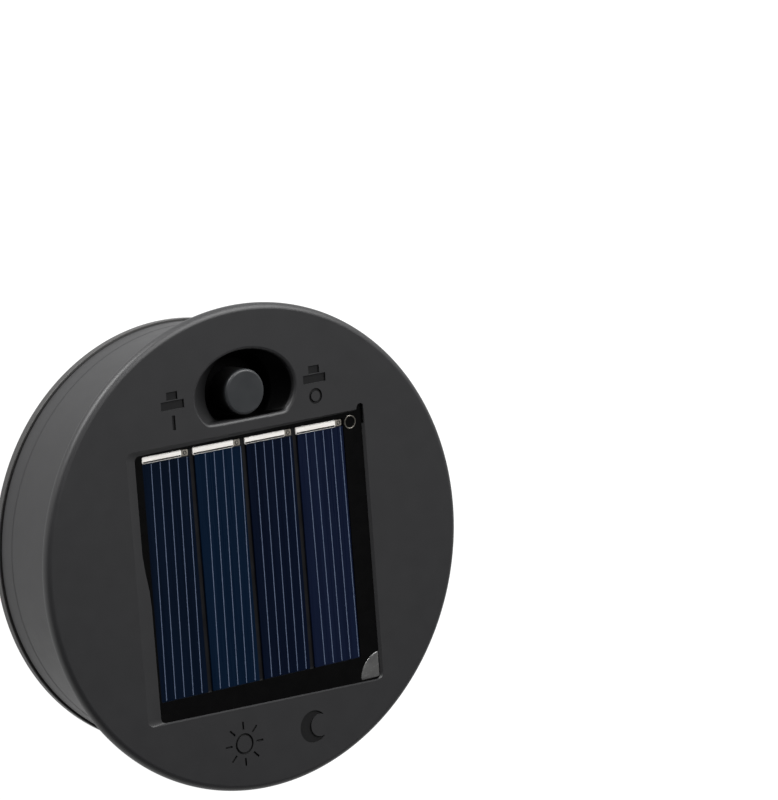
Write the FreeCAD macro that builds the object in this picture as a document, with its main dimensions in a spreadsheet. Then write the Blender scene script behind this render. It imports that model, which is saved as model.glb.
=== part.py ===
import FreeCAD, Part

import math
import os
import re

import Sketcher

# Round solar light for a lantern top: a flanged housing with the solar panel and the push button on
# top, a screwed cover with the LED lens underneath, and the cell, boards and wires between them.
# Millimetres. The frame's origin is the middle of the cover's lower face, with +Z up, +Y towards the
# button and +X to the right of the panel.

DOC = FreeCAD.newDocument("solar_light")
V = FreeCAD.Vector

# Every size that can be set by itself, written once.
SIZES = {
    # casing
    "flange_dia": 80.0, "flange_thick": 1.5, "flange_round": 1.1, "total_height": 23.5,
    "drum_dia_top": 70.0, "drum_dia_mid": 70.4, "drum_dia_low": 70.7, "band_tall": 3.2,
    "drum_wall": 1.6, "face_plate": 1.8, "seam_bevel": 0.35, "seam_gap": 0.1,
    "seat_gap": 0.15, "root_rise": 0.9,
    "cover_dia": 71.4, "cover_rim": 1.5, "cover_round": 0.35, "cover_plate": 1.8,
    "spigot_tall": 2.0, "spigot_wall": 1.2, "spigot_gap": 0.15,
    "groove_dia": 36.2, "groove_width": 0.9, "groove_deep": 0.5,
    # cover screws
    "screw_pcd": 53.6, "screw_head_dia": 3.6, "screw_head_tall": 1.4, "screw_shank_dia": 2.2,
    "screw_long": 9.0, "sink_gap": 1.5, "screw_sink_deep": 2.6, "sink_floor": 1.2,
    "sink_wall": 1.0, "boss_dia": 6.2, "boss_gap": 0.1, "pilot_gap": 0.03, "hole_gap": 0.2,
    "pilot_spare": 1.0, "cross_width": 0.7, "cross_span": 2.4, "cross_deep": 0.9,
    # solar panel and its tray
    "panel_wide": 45.0, "panel_long": 44.0, "panel_thick": 1.0, "panel_x": -0.4, "panel_y": -3.3,
    "panel_gap": 0.2, "tray_deep": 2.2, "tray_floor": 1.2, "tray_wall": 1.2, "tray_bevel": 0.6,
    "slope_start": 0.2, "panel_bed": 0.3, "bed_inset": 1.5, "margin_left": 2.5, "margin_right": 3.3,
    "margin_low": 3.4, "margin_high": 0.3, "cell_split": 1.0, "cell_thick": 0.3, "busbar_wide": 1.3,
    "busbar_thick": 0.2, "eyelet_proud": 0.05, "resin_over": 0.15, "resin_gap": 0.05,
    "eyelet_dia": 2.3, "eyelet_bore": 1.9, "eyelet_inset": 1.35, "notch_wide": 1.6,
    "notch_long": 1.3, "lead_hole_dia": 4.2,
    "lead_inset_x": 6.1, "lead_inset_y": 8.2, "lead_pitch": 1.8, "glue_wide": 3.4, "glue_long": 3.8,
    "glue_thick": 0.4,
    # button well
    "well_wide": 19.5, "well_high": 14.0, "well_centre_y": 25.8, "well_flat_y": 21.5,
    "dish_deep": 2.3, "dish_dia": 12.8, "well_floor_dia": 10.4, "well_deep": 4.6,
    "well_floor": 1.2, "well_wall": 1.2,
    # push button and its switch
    "button_dia": 7.5, "button_gap": 0.08, "button_below_face": 0.1, "button_round": 0.45,
    "button_travel": 1.8, "collar_wide": 0.85, "button_collar": 0.8, "collar_gap": 0.2,
    "stem_size": 3.0, "stem_gap": 0.05, "stem_in_button": 4.0, "stem_foot": 4.4, "foot_tall": 1.2,
    "switch_size": 8.5, "switch_tall": 7.0, "switch_roof": 1.0, "switch_room": 0.3,
    "foot_gap": 0.2, "neck_gap": 0.15, "switch_clear": 0.6,
    "spring_dia": 3.2, "spring_wire": 0.35, "spring_turns": 5.0,
    "pin_dia": 0.8, "pin_pitch": 2.5, "pin_row": 5.0, "pin_below": 2.0,
    "switch_board_wide": 25.0, "switch_board_deep": 9.0, "board_thick": 1.2, "post_dia": 4.2,
    "post_pitch": 16.0, "small_head_dia": 3.4, "small_head_tall": 1.2, "small_shank_dia": 1.7,
    "small_long": 4.0,
    # lens, LEDs and control board
    "lens_dia": 11.8, "lens_hole_gap": 0.1, "lens_dome": 0.8, "lens_below_face": 0.15,
    "lens_wall": 0.9, "lens_collar_wide": 1.3, "lens_collar": 0.8, "lens_skirt": 1.8,
    "control_wide": 25.0, "control_deep": 15.0, "led_wide": 2.4, "led_thick": 0.7,
    "led_ring_dia": 5.6, "control_post_pitch": 20.0, "control_screw_long": 2.0,
    "control_pilot_spare": 0.3,
    "chip_wide": 4.0, "chip_deep": 1.6, "chip_tall": 3.0, "chip_x": -4.6, "chip_y": 2.6,
    "leg_wide": 0.4, "leg_deep": 0.3, "leg_tall": 1.0, "leg_pitch": 1.0,
    "choke_dia": 3.0, "choke_long": 7.0, "choke_y": -4.2, "choke_lead": 0.5,
    "capacitor_dia": 4.0, "capacitor_tall": 5.0, "capacitor_x": 5.0, "capacitor_y": 2.6,
    "diode_dia": 1.8, "diode_long": 3.4, "diode_y": -0.6,
    # cell and holder
    "battery_dia": 10.5, "battery_long": 44.5, "nub_dia": 3.8, "nub_long": 0.8,
    "battery_x": 1.2, "holder_to_board": 0.4, "holder_floor": 1.0, "holder_end": 1.2,
    "holder_wall": 1.0, "holder_side_long": 40.0, "holder_side_tall": 5.0, "tape_thick": 0.8,
    "tape_inset": 2.0, "contact_side": 0.6, "spigot_clear": 0.2,
    "battery_gap": 0.15, "contact_thick": 0.3, "contact_inset": 1.25, "coil_room": 3.0,
    "coil_dia": 5.0, "coil_wire": 0.6, "coil_turns": 3.0,
    # wires
    "wire_dia": 1.0,
}

# Places and sizes that follow from the sizes above.
LEVELS = {
    "face_z": "total_height",
    "flange_under_z": "total_height - flange_thick",
    "plate_under_z": "total_height - face_plate",
    "housing_low_z": "cover_rim + seam_gap",
    "band_top_z": "cover_rim + seam_gap + band_tall",
    "drum_inner": "drum_dia_top / 2 - drum_wall",
    "spigot_inner": "drum_dia_top / 2 - drum_wall - spigot_gap - spigot_wall",
    "screw_sink_dia": "screw_head_dia + 2 * sink_gap",
    "switch_neck": "stem_size + 2 * neck_gap",
    "switch_cavity": "stem_foot + 2 * foot_gap",
    "lens_collar_dia": "lens_dia + 2 * lens_collar_wide",
    "tray_z": "total_height - tray_deep",
    "tray_under_z": "total_height - tray_deep - tray_floor",
    "pocket_wide": "panel_wide + 2 * panel_gap",
    "pocket_long": "panel_long + 2 * panel_gap",
    "well_z": "total_height - well_deep",
    "well_under_z": "total_height - well_deep - well_floor",
    "dish_z": "total_height - dish_deep",
    "sink_top_z": "screw_sink_deep + sink_floor",
    "boss_low_z": "screw_sink_deep + sink_floor + boss_gap",
    "screw_reach": "screw_long - sink_floor - boss_gap + pilot_spare",
    "button_top_z": "total_height - button_below_face",
    "collar_top_z": "total_height - well_deep - well_floor - collar_gap",
    "collar_low_z": "total_height - well_deep - well_floor - collar_gap - button_collar",
    "switch_top_z": "total_height - well_deep - well_floor - collar_gap - button_collar"
                    " - button_travel - switch_clear",
    "switch_low_z": "total_height - well_deep - well_floor - collar_gap - button_collar"
                    " - button_travel - switch_clear - switch_tall",
    "panel_low_z": "total_height - tray_deep + panel_bed",
    "panel_top_z": "total_height - tray_deep + panel_bed + panel_thick",
    "cell_top_z": "total_height - tray_deep + panel_bed + panel_thick + cell_thick",
    "cells_wide": "panel_wide - margin_left - margin_right",
    "cells_long": "panel_long - margin_low - margin_high - busbar_wide",
    "cells_x": "panel_x + (margin_left - margin_right) / 2",
    "cells_y": "panel_y + (margin_low - margin_high - busbar_wide) / 2",
    "cell_wide": "(cells_wide - 3 * cell_split) / 4",
    "lead_hole_x": "panel_x + panel_wide / 2 - lead_inset_x",
    "lead_hole_y": "panel_y + panel_long / 2 - lead_inset_y",
    "busbar_y": "cells_y + cells_long / 2 + busbar_wide / 2",
    "notch_x": "panel_x + panel_wide / 2 + panel_gap - notch_wide / 2",
    "pocket_top_y": "panel_y + panel_long / 2 + panel_gap",
    "glue_x": "panel_x + panel_wide / 2 + panel_gap - glue_wide / 2",
    "glue_y": "panel_y - panel_long / 2 - panel_gap + glue_long / 2",
    "eyelet_x": "cells_x + cells_wide / 2 + eyelet_inset",
    "eyelet_y": "panel_y + panel_long / 2 - eyelet_dia / 2",
    "control_low_z": "cover_plate + lens_skirt",
    "control_top_z": "cover_plate + lens_skirt + board_thick",
    "holder_low_z": "cover_plate + tape_thick",
    "holder_floor_z": "cover_plate + tape_thick + holder_floor",
    "battery_z": "cover_plate + tape_thick + holder_floor + battery_gap + battery_dia / 2",
    "battery_y": "-(control_deep / 2 + holder_to_board + holder_wall + battery_gap"
                 " + battery_dia / 2)",
    "contact_size": "battery_dia - 2 * contact_inset",
    "plus_x": "battery_x + battery_long / 2",
    "minus_x": "battery_x - battery_long / 2 - coil_room",
}
LIVE = {}


def fill_sheets():
    """Put the sizes in one sheet and what follows from them in a second one."""
    for title, table, lead in (("Sheet", SIZES, ""), ("Levels", LEVELS, "=")):
        sheet = DOC.addObject("Spreadsheet::Sheet", title)
        for row, (name, content) in enumerate(table.items(), 1):
            sheet.set("A%d" % row, name)
            sheet.set("B%d" % row, lead + (sized(content) if lead else str(content)))
            sheet.setAlias("B%d" % row, name)
        DOC.recompute()
        LIVE[title] = sheet


def sized(text):
    """Spell a formula with the cells that its words name."""
    def cell(match):
        word = match.group(0)
        if word in SIZES:
            return "Sheet." + word
        return "Levels." + word if word in LEVELS else word
    return re.sub(r"[a-z][a-z_0-9]*", cell, str(text))


def value(name):
    """The number that a cell holds now."""
    return float(LIVE["Sheet" if name in SIZES else "Levels"].get(name))


def bind(thing, **formulas):
    for prop, text in formulas.items():
        thing.setExpression(prop.replace("__", "."), sized(text))
    return thing


def place(thing, x=0, y=0, z=0):
    return bind(thing, Placement__Base__x=x, Placement__Base__y=y, Placement__Base__z=z)


def cylinder(name, radius, tall, x=0, y=0, z=0):
    rod = bind(DOC.addObject("Part::Cylinder", name), Radius=radius, Height=tall)
    return place(rod, x, y, z)


def rod_along_x(name, radius, long, x, y, z):
    rod = cylinder(name, radius, long, x, y, z)
    return bind(rod, Placement__Rotation__Axis__y="1", Placement__Rotation__Axis__z="0",
                Placement__Rotation__Angle="90")


def block(name, wide, deep, tall, x=0, y=0, z=0):
    """A box centred on x and y, standing on z."""
    box = bind(DOC.addObject("Part::Box", name), Length=wide, Width=deep, Height=tall)
    return place(box, "%s - (%s) / 2" % (x, wide), "%s - (%s) / 2" % (y, deep), z)


def fuse(name, *shapes):
    whole = DOC.addObject("Part::MultiFuse", name)
    whole.Shapes = list(shapes)
    return whole


def common(name, *shapes):
    shared = DOC.addObject("Part::MultiCommon", name)
    shared.Shapes = list(shapes)
    return shared


def cut(name, base, *tools):
    """Take the tools away one after the other; the last result carries the name."""
    left = base
    for count, tool in enumerate(tools, 1):
        step = DOC.addObject("Part::Cut", name if count == len(tools) else name + "_less")
        step.Base = left
        step.Tool = tool
        left = step
    return left


def group(name, *shapes):
    """Separate solids that share one node."""
    together = DOC.addObject("Part::Compound", name)
    together.Links = list(shapes)
    return together


def outline(body, name, role, points):
    """A closed outline of straight edges whose corners are bound to formulas."""
    sketch = body.newObject("Sketcher::SketchObject", name)
    plane = next(p for p in body.Origin.OriginFeatures if p.Role == role)
    sketch.AttachmentSupport = [(plane, "")]
    sketch.MapMode = "FlatFace"
    count = len(points)
    turns = [2 * math.pi * k / count for k in range(count)]
    rough = [V(20 + 15 * math.cos(turn), 20 + 15 * math.sin(turn), 0) for turn in turns]
    for k in range(count):
        sketch.addGeometry(Part.LineSegment(rough[k], rough[(k + 1) % count]), False)
    for k in range(count):
        sketch.addConstraint(Sketcher.Constraint("Coincident", k, 2, (k + 1) % count, 1))
    for k, corner in enumerate(points):
        for kind, axis, text in zip(("DistanceX", "DistanceY"), (-2, -1), corner):
            if text == 0:
                sketch.addConstraint(Sketcher.Constraint("PointOnObject", k, 1, axis))
                continue
            index = sketch.addConstraint(Sketcher.Constraint(kind, -1, 1, k, 1, 10.0))
            sketch.setExpression("Constraints[%d]" % index, sized(text))
    return sketch


def turned(name, points):
    """A body of revolution about Z from an outline of (radius, height) corners."""
    body = DOC.addObject("PartDesign::Body", name)
    sketch = outline(body, name + "_outline", "XZ_Plane", points)
    turn = body.newObject("PartDesign::Revolution", name + "_turn")
    turn.Profile = sketch
    turn.ReferenceAxis = (sketch, ["V_Axis"])
    turn.Angle = 360.0
    sketch.Visibility = False
    DOC.recompute()
    return body


def rounded(body, radius, edge_radius, edge_z):
    """Round the circular edge of a turned body that lies at a radius and a height."""
    DOC.recompute()
    base = body.Tip
    edge_names = ["Edge%d" % n for n, edge in enumerate(base.Shape.Edges, 1)
                  if hasattr(edge.Curve, "Radius") and abs(edge.Curve.Radius - edge_radius) < 0.001
                  and abs(edge.Curve.Center.z - edge_z) < 0.001]
    fillet = body.newObject("PartDesign::Fillet", body.Name + "_round")
    fillet.Base = (base, edge_names)
    bind(fillet, Radius=radius)
    DOC.recompute()
    return body


BOSS_ANGLES = (30, 150, 270)


def at_bosses(angle):
    """The place of a cover screw, as formulas."""
    return "screw_pcd / 2 * cos(%d)" % angle, "screw_pcd / 2 * sin(%d)" % angle


def pan_screw(name, head_dia, head_tall, shank_dia, long, x, y, seat_z, up):
    """A cross-recessed screw whose head sits on seat_z and points up or down."""
    sign = "1" if up else "-1"
    head_z = seat_z if up else "%s - %s" % (seat_z, head_tall)
    shank_z = "%s - %s" % (seat_z, long) if up else seat_z
    head = cylinder(name + "_head", head_dia + " / 2", head_tall, x, y, head_z)
    shank = cylinder(name + "_shank", shank_dia + " / 2", long, x, y, shank_z)
    deep = "cross_deep * %s / screw_head_tall" % head_tall
    span = "cross_span * %s / screw_head_dia" % head_dia
    slot_z = "%s + %s * (%s) - (%s)" % (seat_z, sign, head_tall, deep) if up else head_z
    slots = [block(name + "_slot_x", span, "cross_width", deep, x, y, slot_z),
             block(name + "_slot_y", "cross_width", span, deep, x, y, slot_z)]
    return cut(name, fuse(name + "_blank", head, shank), *slots)


def make_top_housing():
    shell = turned("housing_shell", [
        (0, "plate_under_z"), ("drum_inner", "plate_under_z"), ("drum_inner", "housing_low_z"),
        ("drum_dia_low / 2 - seam_bevel", "housing_low_z"),
        ("drum_dia_low / 2", "housing_low_z + seam_bevel"),
        ("drum_dia_mid / 2", "band_top_z"), ("drum_dia_top / 2", "flange_under_z - root_rise"),
        ("cover_dia / 2 + seat_gap", "flange_under_z"), ("flange_dia / 2", "flange_under_z"),
        ("flange_dia / 2", "face_z"), (0, "face_z")])
    rounded(shell, "flange_round", value("flange_dia") / 2, value("face_z"))
    inside = cylinder("drum_core", "drum_inner + drum_wall / 2", "plate_under_z")
    tray = block("tray_block", "pocket_wide + 2 * tray_wall", "pocket_long + 2 * tray_wall",
                 "plate_under_z - tray_under_z", "panel_x", "panel_y", "tray_under_z")
    cup = block("well_block", "well_wide + 2 * well_wall", "well_high + 2 * well_wall",
                "plate_under_z - well_under_z", 0, "well_centre_y", "well_under_z")
    bosses, pilots = [], []
    for angle in BOSS_ANGLES:
        x, y = at_bosses(angle)
        bosses.append(cylinder("boss_%d" % angle, "boss_dia / 2", "plate_under_z - boss_low_z",
                               x, y, "boss_low_z"))
        pilots.append(cylinder("pilot_%d" % angle, "screw_shank_dia / 2 + pilot_gap",
                               "screw_reach", x, y, "boss_low_z"))
    for side in (-1, 1):
        x = "%d * post_pitch / 2" % side
        bosses.append(cylinder("switch_post_%d" % (side + 1), "post_dia / 2",
                               "plate_under_z - switch_low_z", x, "well_centre_y", "switch_low_z"))
        pilots.append(cylinder("switch_pilot_%d" % (side + 1), "small_shank_dia / 2 + pilot_gap",
                               "small_long", x, "well_centre_y", "switch_low_z"))
    solid = fuse("housing_solid", shell, common("inner_blocks", inside, fuse("blocks", tray, cup)),
                 *bosses)
    pocket = block("panel_pocket", "pocket_wide", "pocket_long", "tray_deep + 1",
                   "panel_x", "panel_y", "tray_z")
    notch = block("lead_notch", "notch_wide", "notch_long + 1", "tray_deep + 1",
                  "notch_x", "pocket_top_y + notch_long / 2 - 0.5", "tray_z")
    lead_hole = cylinder("lead_hole", "lead_hole_dia / 2", "tray_deep + tray_floor + 1",
                         "lead_hole_x", "lead_hole_y", "tray_under_z - 1")
    button_hole = cylinder("button_hole", "button_dia / 2 + button_gap", "well_deep + well_floor + 1",
                           0, "well_centre_y", "well_under_z - 1")
    housing = cut("top_housing", solid, pocket, tray_slope(), notch, lead_hole, button_hole,
                  well_space(), *pilots)
    return [housing]


def tray_slope():
    """The bevel round the panel pocket: a block whose sides lean out upwards from inside the pocket."""
    body = DOC.addObject("PartDesign::Body", "pocket_slope")
    sketch = body.newObject("Sketcher::SketchObject", "slope_outline")
    plane = next(p for p in body.Origin.OriginFeatures if p.Role == "XY_Plane")
    sketch.AttachmentSupport = [(plane, "")]
    sketch.MapMode = "FlatFace"
    corners = [V(-20, -20, 0), V(20, -20, 0), V(20, 20, 0), V(-20, 20, 0)]
    for k in range(4):
        sketch.addGeometry(Part.LineSegment(corners[k], corners[(k + 1) % 4]), False)
    for k in range(4):
        sketch.addConstraint(Sketcher.Constraint("Coincident", k, 2, (k + 1) % 4, 1))
    for k in (0, 2):
        sketch.addConstraint(Sketcher.Constraint("Horizontal", k))
        sketch.addConstraint(Sketcher.Constraint("Vertical", k + 1))
    sketch.addConstraint(Sketcher.Constraint("Symmetric", 0, 1, 1, 2, -1, 1))
    for kind, side, text in (("DistanceX", 0, "pocket_wide - 2 * slope_start"),
                             ("DistanceY", 1, "pocket_long - 2 * slope_start")):
        index = sketch.addConstraint(Sketcher.Constraint(kind, side, 1, side, 2, 40.0))
        sketch.setExpression("Constraints[%d]" % index, sized(text))
    pad = body.newObject("PartDesign::Pad", "slope_pad")
    pad.Profile = sketch
    pad.TaperAngle = 45.0
    bind(pad, Length="tray_bevel + 2 * slope_start")
    place(body, "panel_x", "panel_y", "face_z - tray_bevel - slope_start")
    DOC.recompute()
    return body


def well_space():
    """The space of the button well: an oval mouth that narrows to a round floor, cut off flat."""
    mouth = bind(DOC.addObject("Part::Ellipse", "well_mouth"),
                 MajorRadius="well_wide / 2", MinorRadius="well_high / 2")
    place(mouth, 0, "well_centre_y", "face_z + 0.01")
    throat = bind(DOC.addObject("Part::Circle", "well_throat"), Radius="dish_dia / 2")
    place(throat, 0, "well_centre_y", "dish_z")
    floor = bind(DOC.addObject("Part::Circle", "well_floor_ring"), Radius="well_floor_dia / 2")
    place(floor, 0, "well_centre_y", "well_z")
    dish = DOC.addObject("Part::Loft", "well_dish")
    dish.Sections = [mouth, throat, floor]
    dish.Solid = True
    dish.Ruled = True
    below = block("well_below", "well_wide + 4", "well_high", "well_deep + 2", 0,
                  "well_flat_y - well_high / 2", "well_z - 1")
    space = cut("well_space", dish, below)
    space.Refine = False
    return space


def make_bottom_cover():
    disc = turned("cover_disc", [
        (0, 0), ("cover_dia / 2", 0), ("cover_dia / 2", "cover_rim"),
        ("drum_inner - spigot_gap", "cover_rim"),
        ("drum_inner - spigot_gap", "cover_plate + spigot_tall"),
        ("spigot_inner", "cover_plate + spigot_tall"), ("spigot_inner", "cover_plate"),
        (0, "cover_plate")])
    rounded(disc, "cover_round", value("cover_dia") / 2, 0.0)
    groove = cut("groove_ring",
                 cylinder("groove_outer", "groove_dia / 2 + groove_width / 2", "groove_deep"),
                 cylinder("groove_inner", "groove_dia / 2 - groove_width / 2", "groove_deep"))
    cups, holes = [], [groove, cylinder("lens_hole", "lens_dia / 2 + lens_hole_gap", "cover_plate")]
    for angle in BOSS_ANGLES:
        x, y = at_bosses(angle)
        cups.append(cylinder("sink_cup_%d" % angle, "screw_sink_dia / 2 + sink_wall", "sink_top_z",
                             x, y))
        holes.append(cylinder("sink_%d" % angle, "screw_sink_dia / 2", "screw_sink_deep", x, y))
        holes.append(cylinder("screw_hole_%d" % angle, "screw_shank_dia / 2 + hole_gap",
                              "sink_top_z", x, y))
    for side in (-1, 1):
        x = "%d * control_post_pitch / 2" % side
        cups.append(cylinder("control_post_%d" % (side + 1), "post_dia / 2", "control_low_z", x))
        holes.append(cylinder("control_pilot_%d" % (side + 1), "small_shank_dia / 2 + pilot_gap",
                              "control_screw_long + control_pilot_spare", x, 0,
                              "control_low_z - control_screw_long - control_pilot_spare"))
    return [cut("bottom_cover", fuse("cover_solid", disc, *cups), *holes)]


def make_cover_screws():
    screws = [pan_screw("cover_screw_%d" % angle, "screw_head_dia", "screw_head_tall",
                        "screw_shank_dia", "screw_long", *at_bosses(angle), "screw_sink_deep", False)
              for angle in BOSS_ANGLES]
    return [group("cover_screws", *screws)]


def make_button():
    cap = turned("cap_body", [
        (0, "collar_low_z"), ("button_dia / 2 + collar_wide", "collar_low_z"),
        ("button_dia / 2 + collar_wide", "collar_top_z"), ("button_dia / 2", "collar_top_z"),
        ("button_dia / 2", "button_top_z"), (0, "button_top_z")])
    rounded(cap, "button_round", value("button_dia") / 2, value("button_top_z"))
    place(cap, 0, "well_centre_y", 0)
    socket = block("stem_socket", "stem_size + 2 * stem_gap", "stem_size + 2 * stem_gap",
                   "stem_in_button + stem_gap", 0, "well_centre_y", "collar_low_z")
    button = cut("button_cap", cap, socket)
    foot_z = "switch_top_z - switch_roof - switch_room - foot_tall"
    stem = fuse("switch_plunger",
                block("stem", "stem_size", "stem_size",
                      "collar_low_z + stem_in_button - (%s)" % foot_z, 0, "well_centre_y", foot_z),
                block("stem_foot", "stem_foot", "stem_foot", "foot_tall", 0, "well_centre_y", foot_z))
    return [button, stem]


def make_switch():
    floor_z = "switch_low_z + switch_roof"
    case = cut("switch_body",
               block("switch_case", "switch_size", "switch_size", "switch_tall", 0,
                     "well_centre_y", "switch_low_z"),
               block("switch_hollow", "switch_cavity", "switch_cavity",
                     "switch_tall - 2 * switch_roof", 0, "well_centre_y", floor_z),
               block("switch_mouth", "switch_neck", "switch_neck", "switch_roof + 1", 0,
                     "well_centre_y", "switch_top_z - switch_roof"))
    spring = coil("switch_spring", "spring_dia / 2 - spring_wire / 2", "spring_wire",
                  "switch_tall - 2 * switch_roof - switch_room - foot_tall - 2 * spring_wire",
                  "spring_turns")
    place(spring, 0, "well_centre_y", floor_z + " + spring_wire")
    pins = [cylinder("pin_%d_%d" % (row, column), "pin_dia / 2", "board_thick + pin_below",
                     "%d * pin_pitch" % column, "well_centre_y + %d * pin_row / 2" % row,
                     "switch_low_z - board_thick - pin_below")
            for row in (-1, 1) for column in (-1, 0, 1)]
    pin_holes = [cylinder(pin.Name + "_hole", "pin_dia / 2 + pilot_gap", "board_thick",
                          "%d * pin_pitch" % column, "well_centre_y + %d * pin_row / 2" % row,
                          "switch_low_z - board_thick")
                 for pin, (row, column) in zip(pins, [(r, c) for r in (-1, 1) for c in (-1, 0, 1)])]
    screw_holes, screws = [], []
    for side in (-1, 1):
        x = "%d * post_pitch / 2" % side
        screw_holes.append(cylinder("board_hole_%d" % (side + 1), "small_shank_dia / 2 + hole_gap",
                                    "board_thick", x, "well_centre_y", "switch_low_z - board_thick"))
        screws.append(pan_screw("switch_screw_%d" % (side + 1), "small_head_dia", "small_head_tall",
                                "small_shank_dia", "small_long", x, "well_centre_y",
                                "switch_low_z - board_thick", False))
    board = cut("switch_board",
                block("switch_board_blank", "switch_board_wide", "switch_board_deep", "board_thick",
                      0, "well_centre_y", "switch_low_z - board_thick"), *pin_holes, *screw_holes)
    return [case, spring, group("switch_pins", *pins), board, group("switch_screws", *screws)]


def coil(name, radius, wire, tall, turns):
    """A wire swept along a helix about Z."""
    path = bind(DOC.addObject("Part::Helix", name + "_path"), Radius=radius, Height=tall,
                Pitch="(%s) / %s" % (tall, turns))
    section = bind(DOC.addObject("Part::Circle", name + "_section"), Radius=wire + " / 2")
    place(section, radius, 0, 0)
    bind(section, Placement__Rotation__Axis__x="1", Placement__Rotation__Axis__z="0",
         Placement__Rotation__Angle="90")
    sweep = DOC.addObject("Part::Sweep", name)
    sweep.Sections = [section]
    DOC.recompute()
    sweep.Spine = (path, ["Edge%d" % n for n in range(1, len(path.Shape.Edges) + 1)])
    sweep.Solid = True
    sweep.Frenet = True
    return sweep


def make_lens():
    dome_z = "lens_below_face"
    lens = turned("lens_shell", [
        (0, dome_z), ("lens_dia / 4", dome_z + " + lens_dome / 4"),
        ("lens_dia / 2", dome_z + " + lens_dome"), ("lens_dia / 2", "cover_plate"),
        ("lens_collar_dia / 2", "cover_plate"), ("lens_collar_dia / 2", "control_low_z"),
        ("lens_collar_dia / 2 - lens_wall", "control_low_z"),
        ("lens_collar_dia / 2 - lens_wall", "cover_plate + lens_collar"),
        (0, "cover_plate + lens_collar")])
    lens.Label = "led_lens"
    return [lens]


def make_control_board():
    holes, screws, chips = [], [], []
    for side in (-1, 1):
        x = "%d * control_post_pitch / 2" % side
        holes.append(cylinder("control_hole_%d" % (side + 1), "small_shank_dia / 2 + hole_gap",
                              "board_thick", x, 0, "control_low_z"))
        screws.append(pan_screw("control_screw_%d" % (side + 1), "small_head_dia",
                                "small_head_tall", "small_shank_dia",
                                "control_screw_long + board_thick", x, 0, "control_top_z", True))
    board = cut("control_board", block("control_blank", "control_wide", "control_deep",
                                       "board_thick", 0, 0, "control_low_z"), *holes)
    for k in range(5):
        spot = "led_ring_dia / 2 * %s(%d)"
        chips.append(block("led_%d" % k, "led_wide", "led_wide", "led_thick",
                           spot % ("cos", 72 * k + 90), spot % ("sin", 72 * k + 90),
                           "control_low_z - led_thick"))
    top = "control_top_z"
    legs = [block("chip_leg_%d" % k, "leg_wide", "leg_deep", "leg_tall",
                  "chip_x + (%s) * leg_pitch" % (k - 1.5), "chip_y", top) for k in range(4)]
    driver = fuse("driver_chip", block("chip_case", "chip_wide", "chip_deep", "chip_tall", "chip_x",
                                       "chip_y", top + " + leg_tall"), *legs)
    choke = rod_along_x("choke_body", "choke_dia / 2", "choke_long", "-choke_long / 2", "choke_y",
                        top + " + choke_dia / 2")
    choke_legs = [block("choke_leg_%d" % k, "choke_lead", "choke_lead", "choke_dia / 2",
                        "%d * (choke_long + choke_lead) / 2" % side, "choke_y", top)
                  for k, side in enumerate((-1, 1))]
    capacitor = cylinder("capacitor", "capacitor_dia / 2", "capacitor_tall", "capacitor_x",
                         "capacitor_y", top)
    diode = rod_along_x("diode", "diode_dia / 2", "diode_long", "-diode_long / 2", "diode_y",
                        top + " + diode_dia / 2")
    return [board, group("led_chips", *chips), group("control_screws", *screws), driver,
            fuse("choke_coil", choke, *choke_legs), capacitor, diode]


def make_battery():
    middle_y = "battery_y"
    plus_wall_x = "plus_x + contact_thick + holder_end / 2"
    minus_wall_x = "minus_x - contact_thick - holder_end / 2"
    end_tall = "contact_size + holder_floor"
    walls = [
        block("holder_long_floor", "plus_x - minus_x + 2 * contact_thick + 2 * holder_end",
              "contact_size + 2 * contact_side", "holder_floor", "(plus_x + minus_x) / 2", middle_y,
              "holder_low_z"),
        block("holder_wide_floor", "holder_side_long",
              "battery_dia + 2 * battery_gap + 2 * holder_wall", "holder_floor", 0, middle_y,
              "holder_low_z"),
        block("holder_plus_end", "holder_end", "contact_size + 2 * contact_side", end_tall,
              plus_wall_x, middle_y, "holder_low_z"),
        block("holder_minus_end", "holder_end", "contact_size + 2 * contact_side", end_tall,
              minus_wall_x, middle_y, "holder_low_z")]
    for side in (-1, 1):
        wall_y = "battery_y + %d * (battery_dia / 2 + battery_gap + holder_wall / 2)" % side
        walls.append(block("holder_side_%d" % (side + 1), "holder_side_long", "holder_wall",
                           "holder_side_tall + holder_floor", 0, wall_y, "holder_low_z"))
    room = cylinder("holder_relief", "screw_sink_dia / 2 + sink_wall + holder_to_board",
                    "total_height", *at_bosses(BOSS_ANGLES[2]))
    inside = cylinder("holder_reach", "spigot_inner - spigot_clear", "total_height")
    holder = common("battery_holder", cut("holder_relieved", fuse("holder_walls", *walls), room),
                    inside)
    tape = block("holder_tape", "holder_side_long - 2 * tape_inset", "contact_size",
                 "tape_thick", 0, middle_y, "cover_plate")
    cell = fuse("battery_cell",
                rod_along_x("battery_can", "battery_dia / 2", "battery_long - nub_long",
                            "battery_x - battery_long / 2", middle_y, "battery_z"),
                rod_along_x("battery_nub", "nub_dia / 2", "nub_long", "plus_x - nub_long", middle_y,
                            "battery_z"))
    plus = block("contact_plus", "contact_thick", "contact_size", "contact_size",
                 "plus_x + contact_thick / 2", middle_y, "holder_floor_z")
    minus = block("contact_minus", "contact_thick", "contact_size", "contact_size",
                  "minus_x - contact_thick / 2", middle_y, "holder_floor_z")
    spring = coil("contact_spring", "coil_dia / 2 - coil_wire / 2", "coil_wire",
                  "coil_room - coil_wire", "coil_turns")
    place(spring, "minus_x + coil_wire / 2", middle_y, "battery_z")
    bind(spring, Placement__Rotation__Axis__y="1", Placement__Rotation__Axis__z="0",
         Placement__Rotation__Angle="90")
    return [holder, tape, cell, plus, minus, spring]


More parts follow.
